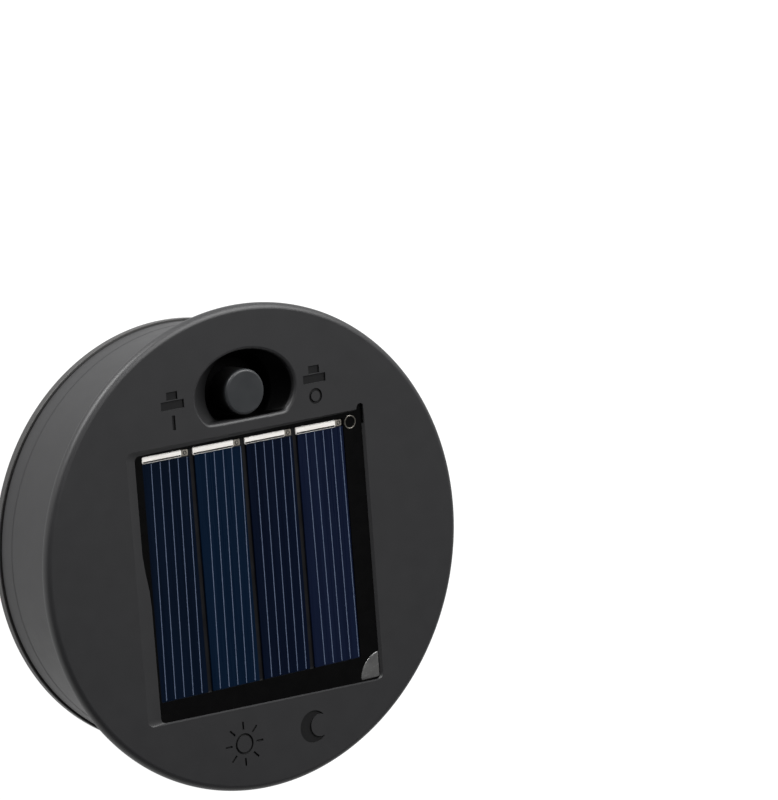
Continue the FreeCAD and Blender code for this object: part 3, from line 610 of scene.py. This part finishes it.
def plain_finish(name, first, second, size, rough, depth=0.01, strength=0.4, stretch=(1, 1, 1),
                 **constants):
    """A finish whose colour, gloss and relief drift with one cloud, its size and depth in mm."""
    finish = Finish(name, **constants)
    cloud = finish.noise(size * mm, 3, stretch)
    return finish.feed(Base_Color=finish.blend(cloud, rgb(*first), rgb(*second)),
                       Roughness=finish.between(*rough, cloud),
                       Normal=finish.bump(cloud, depth * mm, strength))


panel_black = Finish("panel_epoxy", Specular_IOR_Level=0.45)
board_cloud = panel_black.noise(2.2 * mm, 3)
panel_black.feed(Base_Color=panel_black.blend(board_cloud, rgb(6, 6, 8), rgb(12, 12, 15)),
                 Roughness=panel_black.between(0.25, 0.42, board_cloud))
dress(panel_black, "panel_board")

dress(plain_finish("bed_silicone", (30, 30, 31), (44, 44, 45), 1.5, (0.5, 0.7), 0.1, 0.5,
                   Specular_IOR_Level=0.4), "panel_adhesive")


# ---------------------------------------------------------------------------------------------
# Solar cells: four strips of dark silicon laid side by side on the panel board, each printed with
# five hair-thin silver collector fingers. They are bonded down and flooded round with resin.

cell_tints = [rgb(1, 14, 33), rgb(2, 22, 44), rgb(1, 11, 32), rgb(12, 22, 46)]
finger_count = 5
finger_half = 0.085 * mm
finger_high = 0.025 * mm
finger_pitch = 1.71 * mm
finger_starts = [1.75 * mm, 2.05 * mm, 1.7 * mm, 1.65 * mm]
finger_leans = [-0.75 * mm, -0.7 * mm, -0.3 * mm, 0.3 * mm]

finger_silver = Finish("printed_silver", Metallic=0.3, Specular_IOR_Level=0.5)
finger_wear = finger_silver.noise(0.5 * mm, 3)
finger_silver.feed(
    Base_Color=finger_silver.blend(finger_wear, rgb(66, 80, 104), rgb(102, 114, 138)),
    Roughness=finger_silver.between(0.35, 0.55, finger_wear))


def printed_line(shape, start, end, half_wide, low, high):
    """Add a straight printed line with sloping sides to a bmesh."""
    start, end = Vector(start), Vector(end)
    along = (end - start).normalized()
    side = Vector((-along.y, along.x))
    top_half = half_wide * 0.6
    section = ((-half_wide, low), (half_wide, low), (top_half, high), (-top_half, high))
    rings = [[shape.verts.new((*(spot + side * out), height)) for out, height in section]
             for spot in (start, end)]
    for k in range(4):
        after = (k + 1) % 4
        shape.faces.new((rings[0][k], rings[0][after], rings[1][after], rings[1][k]))
    shape.faces.new(rings[0][::-1])
    shape.faces.new(rings[1])


for number, (tint, start, lean) in enumerate(zip(cell_tints, finger_starts, finger_leans), 1):
    cell = "solar_cell_%d" % number
    low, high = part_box(cell)
    cell_blue = Finish("cell_%d_silicon" % number, Specular_IOR_Level=0.14, Coat_Weight=0.12,
                       Coat_Roughness=0.12, IOR=1.5)
    streaks = cell_blue.noise(0.9 * mm, 4, (1, 0.03, 1))
    patches = cell_blue.noise(11 * mm, 2, (1, 0.5, 1))
    deep_tint = (*(part * 0.35 for part in tint[:3]), 1)
    cell_blue.feed(
        Base_Color=cell_blue.blend(streaks * 0.6 + patches * 0.4, deep_tint, tint),
        Roughness=cell_blue.between(0.2, 0.36, streaks),
        Normal=cell_blue.bump(streaks, 0.01 * mm, 0.3))
    dress(cell_blue, cell)
    fingers = bmesh.new()
    for k in range(finger_count):
        top_x = low[0] + start + finger_pitch * k
        printed_line(fingers, (top_x, high[1] - 0.05 * mm), (top_x + lean, low[1] + 0.15 * mm),
                     finger_half, high[2] - 0.01 * mm, high[2] + finger_high)
    coat(new_piece(cell + "_fingers", fingers), finger_silver)


# ---------------------------------------------------------------------------------------------
# Busbars: a bright ribbon along the top of each cell, ending at its right in a tinned solder pad
# with a small ring of solder. They join the four cells in a row.

ribbon_white = Finish("busbar_ribbon", Metallic=0.15, Specular_IOR_Level=0.5)
ribbon_brush = ribbon_white.noise(0.35 * mm, 4, (0.12, 1, 1))
ribbon_white.feed(
    Base_Color=ribbon_white.blend(ribbon_brush, rgb(234, 229, 222), rgb(255, 253, 249)),
    Roughness=ribbon_white.between(0.3, 0.5, ribbon_brush),
    Normal=ribbon_white.bump(ribbon_brush, 0.02 * mm, 0.4))
pad_tin = plain_finish("solder_pad", (96, 92, 84), (170, 164, 154), 0.3, (0.25, 0.5), 0.03, 0.5,
                       Metallic=0.4, Specular_IOR_Level=0.5)
ring_dark = Finish("solder_ring", Metallic=0.5)
ring_dark.feed(
    Base_Color=ring_dark.blend(ring_dark.noise(0.2 * mm), rgb(20, 19, 18), rgb(48, 46, 44)),
    Roughness=ring_dark.between(0.3, 0.5, ring_dark.noise(0.3 * mm)))
pad_wide, pad_inset = 1.3 * mm, 0.1 * mm
uneven_edge = 0.08 * mm
fold_shade_low, fold_shade_high = 0.12 * mm, 0.36 * mm
ring_radius, ring_bead = 0.27 * mm, 0.07 * mm


def ribbon(name, left, right, low, high, base, top, soften=0.12 * mm):
    """A flat strip with softened upper edges."""
    rings = []
    for inset, height in ((0, base), (0, top - soften * 0.5), (soften * 0.4, top - soften * 0.1),
                          (soften, top)):
        rings.append(tray_ring(left + inset, right - inset, low + inset, high - inset,
                               0.2 * mm - inset * 0.5, height, 0, 4))
    return stack(name, rings)


for number in range(1, 5):
    node = "busbar_%d" % number
    low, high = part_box(node)
    split = high[0] - pad_inset - pad_wide
    ribbon_low = low[1] + number % 2 * uneven_edge
    start = low[0] + (0.15 * mm if number == 1 else -0.25 * mm)
    strip = ribbon(node + "_ribbon", start, split, ribbon_low, high[1] - 0.02 * mm,
                   low[2], high[2] + 0.02 * mm)
    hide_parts(node)
    coat(strip, ribbon_white)
    # Painted shade: a grey strip in the pad's tin finish lies along each ribbon's lower edge and
    # stands in for the shade of the ribbon's fold.
    fold_shade = ribbon(node + "_fold", start + 0.15 * mm, split - 0.1 * mm, ribbon_low + fold_shade_low,
                  ribbon_low + fold_shade_high, high[2] - 0.05 * mm, high[2] + 0.05 * mm, 0.05 * mm)
    coat(fold_shade, pad_tin)
    pad_top = high[2] - 0.03 * mm
    pad = ribbon(node + "_pad", split + 0.03 * mm, split + pad_wide, low[1] + pad_inset,
                 high[1] - 0.12 * mm, low[2], pad_top)
    coat(pad, pad_tin)
    pad_middle = (split + pad_wide * 0.52, (low[1] + high[1]) / 2)
    bead = arc((ring_radius, pad_top), ring_bead, 0, 315, 7)
    coat(lathe(node + "_ring", bead, 32, pad_middle), ring_dark)


# ---------------------------------------------------------------------------------------------
# Resin: glossy black casting resin flooded round the cells and over the board's margin, with a
# small ring left by the lead hole's eyelet and a pale dab of glue in the lower right corner.

cell_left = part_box("solar_cell_1")[0][0]
cell_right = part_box("solar_cell_4")[1][0]
cell_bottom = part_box("solar_cell_1")[0][1]
bar_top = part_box("busbar_1")[1][1]
eyelet_low, eyelet_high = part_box("panel_eyelet")
eyelet_spot = ((eyelet_low[0] + eyelet_high[0]) / 2, (eyelet_low[1] + eyelet_high[1]) / 2)
eyelet_radius = (eyelet_high[0] - eyelet_low[0]) / 2

resin_sides = [wall + out * mm for wall, out in zip(
    (tray_left, tray_right, tray_low, tray_high), (1.33, 0.17, -0.72, 0.37))]
resin_corner, resin_soft = 0.9 * mm, 0.1 * mm
resin_rings = [tray_ring(*resin_sides, resin_corner, height, 1)
               for height in (board_high[2] + 0.035 * mm, resin_top - 0.02 * mm)]
soft_sides = [side + inset for side, inset in zip(
    resin_sides, (resin_soft, -resin_soft, resin_soft, -resin_soft))]
resin_rings.append(tray_ring(*soft_sides, resin_corner, resin_top, 1))
resin = stack("resin_fill", resin_rings)
resin_tab = prism("resin_tab", [(x, y - 0.02 * mm) for x, y in notch_points],
                  board_high[2] + 0.04 * mm, resin_top - 0.01 * mm)
carve(resin, [resin_tab], "UNION")
opening = stack("cell_opening", [
    tray_ring(cell_left - grow, cell_right + grow, cell_bottom - grow, bar_top + grow, 0.3 * mm,
              height)
    for grow, height in ((0.02 * mm, board_high[2] - spare), (0.03 * mm, resin_top + spare))])
carve(resin, [opening])
even_normals(resin)
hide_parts("panel_resin")
resin_black = Finish("casting_resin", Specular_IOR_Level=0.14, Coat_Weight=0.08,
                     Coat_Roughness=0.06)
resin_wave = resin_black.noise(2.5 * mm, 2)
resin_black.feed(
    Base_Color=resin_black.blend(resin_black.noise(1.2 * mm, 3), rgb(2, 2, 2), rgb(5, 5, 5)),
    Roughness=resin_black.between(0.2, 0.34, resin_wave),
    Normal=resin_black.bump(resin_wave, 0.06 * mm, 0.25))
coat(resin, resin_black)

eyelet_bead = 0.11 * mm
eyelet = lathe("eyelet_rim", arc((eyelet_radius - eyelet_bead, resin_top + 0.02 * mm), eyelet_bead,
                                 0, 324, 9), 64, eyelet_spot)
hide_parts("panel_eyelet")
eyelet_metal = Finish("eyelet_metal", Metallic=0.6)
eyelet_tarnish = eyelet_metal.noise(0.4 * mm, 3)
eyelet_metal.feed(
    Base_Color=eyelet_metal.blend(eyelet_tarnish, rgb(58, 56, 52), rgb(132, 128, 120)),
    Roughness=eyelet_metal.between(0.2, 0.4, eyelet_tarnish))
coat(eyelet, eyelet_metal)

glue_low, glue_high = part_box("corner_glue")
glue_side = glue_high[0] + 0.1 * mm
glue_edge = arc((glue_high[0] + 1.0 * mm, glue_low[1] - 0.6 * mm), 4.7 * mm, 172, 104, 14)
glue_points = ([(glue_side, glue_low[1] - 0.35 * mm), (glue_side, glue_edge[-1][1])]
               + glue_edge[::-1] + [(glue_edge[0][0] + 0.1 * mm, glue_low[1] - 0.4 * mm)])
glue_middle = sum((Vector(spot) for spot in glue_points), Vector((0, 0))) / len(glue_points)


def glue_ring(shrink, height):
    """The dab's outline, drawn in towards its middle."""
    return [(*(glue_middle + (Vector(spot) - glue_middle) * shrink), height)
            for spot in glue_points]


glue = stack("corner_dab", [glue_ring(shrink, resin_top + rise * mm) for shrink, rise in (
    (1, -0.1), (0.98, 0.01), (0.93, 0.05), (0.75, 0.08))], 50)
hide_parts("corner_glue")
glue_clear = plain_finish("clear_glue", (52, 52, 52), (92, 92, 91), 1.3, (0.15, 0.35), 0.08,
                          Specular_IOR_Level=0.5, Coat_Weight=0.6, Coat_Roughness=0.06)
coat(glue, glue_clear)


# ---------------------------------------------------------------------------------------------
# Push button: a grey ABS cap that stands in the well, level with the face. Its side is painted near
# black as painted shade from the well, and only its flat top shows the grey.

button_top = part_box("button_cap")[1][2]
button_grey = Finish("button_abs", Specular_IOR_Level=0.45)
button_cloud = button_grey.noise(2.5 * mm, 3)
# Painted shade: the cap is painted near black below its top, fading in over the upper millimetre.
button_shade = button_grey.node("MapRange", None, {
    "Value": button_grey.parts(button_grey.spot())[2],
    "From Min": button_top - 1.1 * mm, "From Max": button_top - 0.25 * mm})
button_face = button_grey.blend(button_cloud, rgb(31, 33, 35), rgb(38, 40, 42))
button_grey.feed(
    Base_Color=button_grey.blend(button_shade, rgb(12, 12, 12), button_face),
    Roughness=button_grey.between(0.38, 0.52, button_cloud),
    Normal=button_grey.bump(button_grey.noise(0.12 * mm, 2), 0.008 * mm, 0.5))
dress(button_grey, "button_cap")


# ---------------------------------------------------------------------------------------------
# Bottom cover: a round black ABS plate with a turned groove round the LED lens and three deep
# counterbores. Its spigot stands inside the drum, and three screws pull it up to the housing.

cover_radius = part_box("bottom_cover")[1][0]
cover_rim = 1.5 * mm
plate_top = 1.8 * mm
spigot_outer, spigot_inner = 33.25 * mm, 32.05 * mm
spigot_top = 3.8 * mm
groove_radius, groove_half, groove_deep = 18.1 * mm, 0.45 * mm, 0.45 * mm
lens_hole = 6.0 * mm
inner_ring = 9.0 * mm
groove_in, groove_out = groove_radius - groove_half, groove_radius + groove_half
cover_outline = (
    [(lens_hole, plate_top), (lens_hole, 0.12 * mm), (lens_hole + 0.12 * mm, 0),
     (inner_ring - 0.12 * mm, 0), (inner_ring, 0.05 * mm), (inner_ring + 0.12 * mm, 0),
     (groove_in - 0.1 * mm, 0), (groove_in, 0.08 * mm), (groove_in + 0.06 * mm, groove_deep),
     (groove_radius - 0.1 * mm, groove_deep), (groove_radius - 0.05 * mm, 0.22 * mm),
     (groove_radius + 0.05 * mm, 0.22 * mm), (groove_radius + 0.1 * mm, groove_deep),
     (groove_out - 0.06 * mm, groove_deep), (groove_out, 0.08 * mm),
     (groove_out + 0.1 * mm, 0)]
    + arc((cover_radius - 0.35 * mm, 0.35 * mm), 0.35 * mm, -90, 0, 6)
    + [(cover_radius, cover_rim - 0.1 * mm), (cover_radius - 0.1 * mm, cover_rim),
       (spigot_outer, cover_rim), (spigot_outer, spigot_top - 0.15 * mm),
       (spigot_outer - 0.15 * mm, spigot_top), (spigot_inner, spigot_top),
       (spigot_inner, plate_top)])
cover = lathe("cover_moulding", cover_outline)
# Radius and height of each corner of a counterbore, from the inside of the cover down, in mm.
sink_outline = ((0, 5), (1.3, 5), (1.3, 2.6), (2.5, 2.6), (2.5, 1.7), (3.2, 1.55), (3.3, 0.15),
                (3.45, 0), (3.6, -1), (0, -1))
cup_radius, cup_low = 4.3 * mm, 0.9 * mm
sink_tools, cups = [], []
for angle in screw_angles:
    cups.append(tube("cup_%d" % angle, 0, cup_radius, cup_low, spigot_top, 64, screw_spot(angle)))
    sink_tools.append(lathe("sink_%d" % angle, [(out * mm, up * mm) for out, up in sink_outline],
                            72, screw_spot(angle)))
for side in (-1, 1):
    cups.append(tube("board_post_%d" % side, post_hole, post_radius, 1.7 * mm, 3.6 * mm, 40,
                     (side * 10 * mm, 0)))
carve(cover, cups, "UNION")
carve(cover, sink_tools, sharp=crease)
even_normals(cover)
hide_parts("bottom_cover")

cover_black = Finish("cover_abs", Specular_IOR_Level=0.5, Emission_Strength=0.5)
cover_grain = cover_black.noise(0.14 * mm, 3)
cover_drift = cover_black.noise(12 * mm, 3)
from_lens = cover_black.node("VectorMath", {"operation": "LENGTH"}, {0: cover_black.spot()}, out=1)
# Painted light: a warm pool of light round the lens is painted as emission on the cover face,
# fading out 21 mm from the middle.
painted_lens_glow = cover_black.node("MapRange", {"interpolation_type": "SMOOTHERSTEP"},
                        {"Value": from_lens, "From Min": 21 * mm, "From Max": 5.5 * mm})
cover_black.feed(
    Base_Color=cover_black.blend(cover_drift, (0.020, 0.0195, 0.019, 1), (0.027, 0.026, 0.025, 1)),
    Roughness=cover_black.between(0.44, 0.58, cover_grain),
    Normal=cover_black.bump(cover_grain, 0.02 * mm, 0.6),
    Emission_Color=cover_black.blend(painted_lens_glow * painted_lens_glow, (0, 0, 0, 1), (0.5, 0.3, 0.045, 1)))
coat(cover, cover_black)


# ---------------------------------------------------------------------------------------------
# Cover screws: three pan-head tapping screws in zinc-plated steel with a cross recess, driven up
# through the counterbores into the housing's bosses.

screw_seat = 2.6 * mm
screw_zinc = plain_finish("zinc_plate", (142, 132, 126), (214, 204, 198), 0.5, (0.22, 0.42), 0.02,
                          Metallic=0.9)
core_radius, thread_radius = 0.85 * mm, 1.1 * mm
thread_pitch, thread_start, screw_long = 0.7 * mm, 1.2 * mm, 9.0 * mm
# Radius and drop of the pan head's outline, from its middle to its seat, in mm.
head_outline = ((0, 1.4), (1.05, 1.32), (1.45, 1.12), (1.7, 0.8), (1.8, 0.45), (1.8, 0))
# Half length, half width and drop of the cross recess, from its bottom out, in mm.
slot_steps = ((0.45, 0.16, 0.5), (1.15, 0.3, 1.42), (1.3, 0.34, 1.8))
screw_outline = [(out * mm, screw_seat - drop * mm) for out, drop in head_outline]
screw_outline.append((core_radius, screw_seat))
for k in range(11):
    pitch_z = screw_seat + thread_start + thread_pitch * k
    screw_outline += [(core_radius, pitch_z), (thread_radius, pitch_z + 0.25 * mm),
                      (core_radius, pitch_z + 0.5 * mm)]
screw_outline.append((0, screw_seat + screw_long))
for angle in screw_angles:
    screw = lathe("cover_screw_%d" % angle, screw_outline, 40, screw_spot(angle))
    slots = []
    for turn in (20 + angle, 110 + angle):
        way = Vector((math.cos(math.radians(turn)), math.sin(math.radians(turn))))
        across = Vector((-way.y, way.x))
        rings = []
        for half_long, half_wide, drop in slot_steps:
            ring = []
            for u, v in ((-1, -1), (1, -1), (1, 1), (-1, 1)):
                corner = (Vector(screw_spot(angle))
                          + (way * u * half_long + across * v * half_wide) * mm)
                ring.append((*corner, screw_seat - drop * mm))
            rings.append(ring)
        slots.append(stack("slot_%d" % turn, rings))
    carve(screw, slots, sharp=crease)
    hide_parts("cover_screws")
    coat(screw, screw_zinc)


# ---------------------------------------------------------------------------------------------
# LED lens: a slightly domed, frosted polycarbonate disc that glows warm white, held by its collar
# between the cover and the control board. Five LED chips show through as faint yellow spots.

lens_low, lens_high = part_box("led_lens")
lens_radius = 5.9 * mm
dome_rise = 0.8 * mm
lens_edge = 0.12 * mm
lens_back = plate_top + 0.8 * mm
collar_outer, collar_inner = 7.2 * mm, 6.3 * mm
dome = [(lens_radius * k / 12, lens_low[2] + dome_rise * (k / 12) ** 2) for k in range(12)]
lens = lathe("lens_frosted", dome
             + arc((lens_radius - lens_edge, lens_low[2] + dome_rise - 0.05 * mm), lens_edge,
                   -45, 0, 3)
             + [(lens_radius, plate_top), (collar_outer, plate_top), (collar_outer, lens_high[2]),
                (collar_inner, lens_high[2]), (collar_inner, lens_back), (0, lens_back)], 96)
gate_notch = prism("gate_notch", [(x * mm, y * mm) for x, y in (
    (5.45, -0.45), (6.3, -0.6), (6.3, 0.6), (5.45, 0.45))], -spare, plate_top - 0.2 * mm)
carve(lens, [gate_notch])
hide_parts("led_lens")
lens_frost = Finish("frosted_lens", Specular_IOR_Level=0.4, Emission_Strength=0.72,
                    Roughness=0.4)
chip_circle = 3.3 * mm
chip_near = 1.0
for k in range(5):
    angle = math.radians(72 * k + 90)
    chip_spot = (chip_circle * math.cos(angle), chip_circle * math.sin(angle), 0.6 * mm)
    away = lens_frost.node("VectorMath", {"operation": "DISTANCE"},
                           {0: lens_frost.spot(), 1: chip_spot}, out=1)
    chip_near = away.lesser(chip_near)
chip_light = lens_frost.node("MapRange", {"interpolation_type": "SMOOTHSTEP"},
                             {"Value": chip_near, "From Min": 1.25 * mm, "From Max": 0.75 * mm})
frost_cloud = lens_frost.noise(0.6 * mm, 3)
lens_frost.feed(
    Base_Color=lens_frost.blend(frost_cloud, rgb(122, 112, 88), rgb(138, 128, 104)),
    Emission_Color=lens_frost.blend(chip_light, (1.0, 0.86, 0.5, 1), (1.0, 0.6, 0.06, 1)),
    Normal=lens_frost.bump(frost_cloud, 0.03 * mm, 0.3))
coat(lens, lens_frost)


# ---------------------------------------------------------------------------------------------
# Boards and what is soldered to them: green glass-epoxy boards, five warm LED chips, a driver
# chip, a choke, a capacitor and a diode, with small zinc screws.

circuit_green = Finish("circuit_board", Specular_IOR_Level=0.5)
board_place = circuit_green.node("VectorMath", {"operation": "SCALE"},
                                 {0: circuit_green.spot(), "Scale": 1 / (1.4 * mm)})
tracks = circuit_green.node("TexVoronoi", {"feature": "DISTANCE_TO_EDGE"},
                            {"Vector": board_place, "Scale": 1.0})
track_mask = circuit_green.node("MapRange", None,
                                {"Value": tracks, "From Min": 0.08, "From Max": 0.14})
circuit_green.feed(
    Base_Color=circuit_green.blend(track_mask, rgb(30, 112, 62), rgb(14, 78, 40)),
    Roughness=circuit_green.between(0.28, 0.45, circuit_green.noise(1 * mm)),
    Normal=circuit_green.bump(track_mask, 0.03 * mm, 0.3))
dress(circuit_green, "control_board", "switch_board")
dress(plain_finish("led_phosphor", (240, 196, 84), (255, 226, 140), 0.8, (0.2, 0.4),
                   Emission_Color=(1, 0.75, 0.35, 1), Emission_Strength=1.0), "led_chips")
dress(plain_finish("small_screws", (150, 146, 140), (205, 200, 194), 0.5, (0.25, 0.45),
                   Metallic=0.9), "control_screws", "switch_screws")
dress(plain_finish("chip_epoxy", (22, 22, 23), (38, 38, 39), 0.25, (0.5, 0.7), 0.02), "driver_chip")
dress(plain_finish("choke_lacquer", (34, 84, 46), (58, 116, 66), 0.7, (0.25, 0.45)), "choke_coil")
dress(plain_finish("capacitor_sleeve", (20, 26, 56), (32, 40, 78), 1.2, (0.2, 0.35)), "capacitor")
dress(plain_finish("diode_body", (128, 62, 34), (168, 92, 50), 0.6, (0.12, 0.25)), "diode")


# ---------------------------------------------------------------------------------------------
# Push switch: a black nylon case on the small board, with a white plunger under the button and
# tinned pins. Its steel return spring stands on the board.

dress(plain_finish("switch_nylon", (18, 18, 19), (34, 34, 35), 0.5, (0.45, 0.62)), "switch_body")
dress(plain_finish("plunger_acetal", (214, 212, 204), (236, 234, 228), 1.0, (0.35, 0.5)),
      "switch_plunger")
spring_low, spring_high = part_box("switch_spring")
spring_wire = 0.35 * mm
spring_turns = 5
turn_steps, wire_sides = 28, 10
spring_middle = ((spring_low[0] + spring_high[0]) / 2, (spring_low[1] + spring_high[1]) / 2)
spring_radius = (spring_high[0] - spring_low[0] - spring_wire) / 2
spring_tall = spring_high[2] - spring_low[2]
turn_rise = (spring_tall - spring_wire) / spring_turns
spring_coil = bmesh.new()
wire_rings = []
for k in range(spring_turns * turn_steps + 1):
    turn = math.tau * k / turn_steps
    wire_z = spring_low[2] + spring_wire / 2 + turn_rise * k / turn_steps
    wire_rings.append([spring_coil.verts.new((
        spring_middle[0] + (spring_radius + out) * math.cos(turn),
        spring_middle[1] + (spring_radius + out) * math.sin(turn), wire_z + up))
        for out, up in arc((0, 0), spring_wire / 2, 0, 360 - 360 / wire_sides, wire_sides - 1)])
for first, second in zip(wire_rings, wire_rings[1:]):
    for k in range(wire_sides):
        after = (k + 1) % wire_sides
        spring_coil.faces.new((first[k], first[after], second[after], second[k]))
spring_coil.faces.new(wire_rings[0][::-1])
spring_coil.faces.new(wire_rings[-1])
return_spring = new_piece("return_spring", spring_coil)
coat(return_spring, plain_finish("spring_wire", (132, 134, 138), (196, 198, 202), 0.3, (0.2, 0.4),
                                 Metallic=0.95))
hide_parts("switch_spring")
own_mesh(return_spring)
dress(plain_finish("tinned_pins", (158, 158, 156), (208, 208, 204), 0.3, (0.3, 0.5), Metallic=0.85),
      "switch_pins")


# ---------------------------------------------------------------------------------------------
# Cell: a slim rechargeable cell with a green sleeve in a black holder, between nickel contacts and
# a coil spring. White foam tape sticks the holder to the cover.

cell_sleeve = Finish("cell_sleeve", Specular_IOR_Level=0.5, Coat_Weight=0.5, Coat_Roughness=0.15)
sleeve_cloud = cell_sleeve.noise(2 * mm, 3)
along_cell = cell_sleeve.parts(cell_sleeve.spot())[0]
battery_low, battery_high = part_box("battery_cell")
band = (along_cell > battery_low[0] + 1.2 * mm) * (along_cell < battery_high[0] - 2.2 * mm)
sleeve_green = cell_sleeve.blend(sleeve_cloud, rgb(22, 104, 58), rgb(36, 132, 76))
cell_sleeve.feed(
    Base_Color=cell_sleeve.blend(band, rgb(176, 174, 168), sleeve_green),
    Metallic=(1 - band) * 0.9, Roughness=cell_sleeve.between(0.25, 0.4, sleeve_cloud))
dress(cell_sleeve, "battery_cell")
dress(plain_finish("holder_abs", (20, 20, 21), (36, 36, 37), 0.6, (0.45, 0.62)), "battery_holder")
dress(plain_finish("foam_tape", (206, 206, 200), (232, 232, 226), 0.4, (0.8, 0.95), 0.1),
      "holder_tape")
dress(plain_finish("nickel_strip", (164, 158, 148), (206, 200, 190), 0.8, (0.22, 0.4),
                   stretch=(0.2, 1, 1), Metallic=0.9),
      "contact_plus", "contact_minus", "contact_spring")


# ---------------------------------------------------------------------------------------------
# Leads: stranded copper in thin PVC, red and black from the cell and the panel, white from the
# push switch, soldered to the control board.

for colour, first, second, nodes in (
        ("red", (150, 14, 14), (186, 26, 24), ("battery_wire_plus", "panel_wire_plus")),
        ("black", (16, 16, 17), (34, 34, 35), ("battery_wire_minus", "panel_wire_minus")),
        ("white", (196, 196, 190), (228, 228, 222), ("switch_wire_1", "switch_wire_2"))):
    dress(plain_finish("pvc_" + colour, first, second, 0.8, (0.35, 0.5)), *nodes)
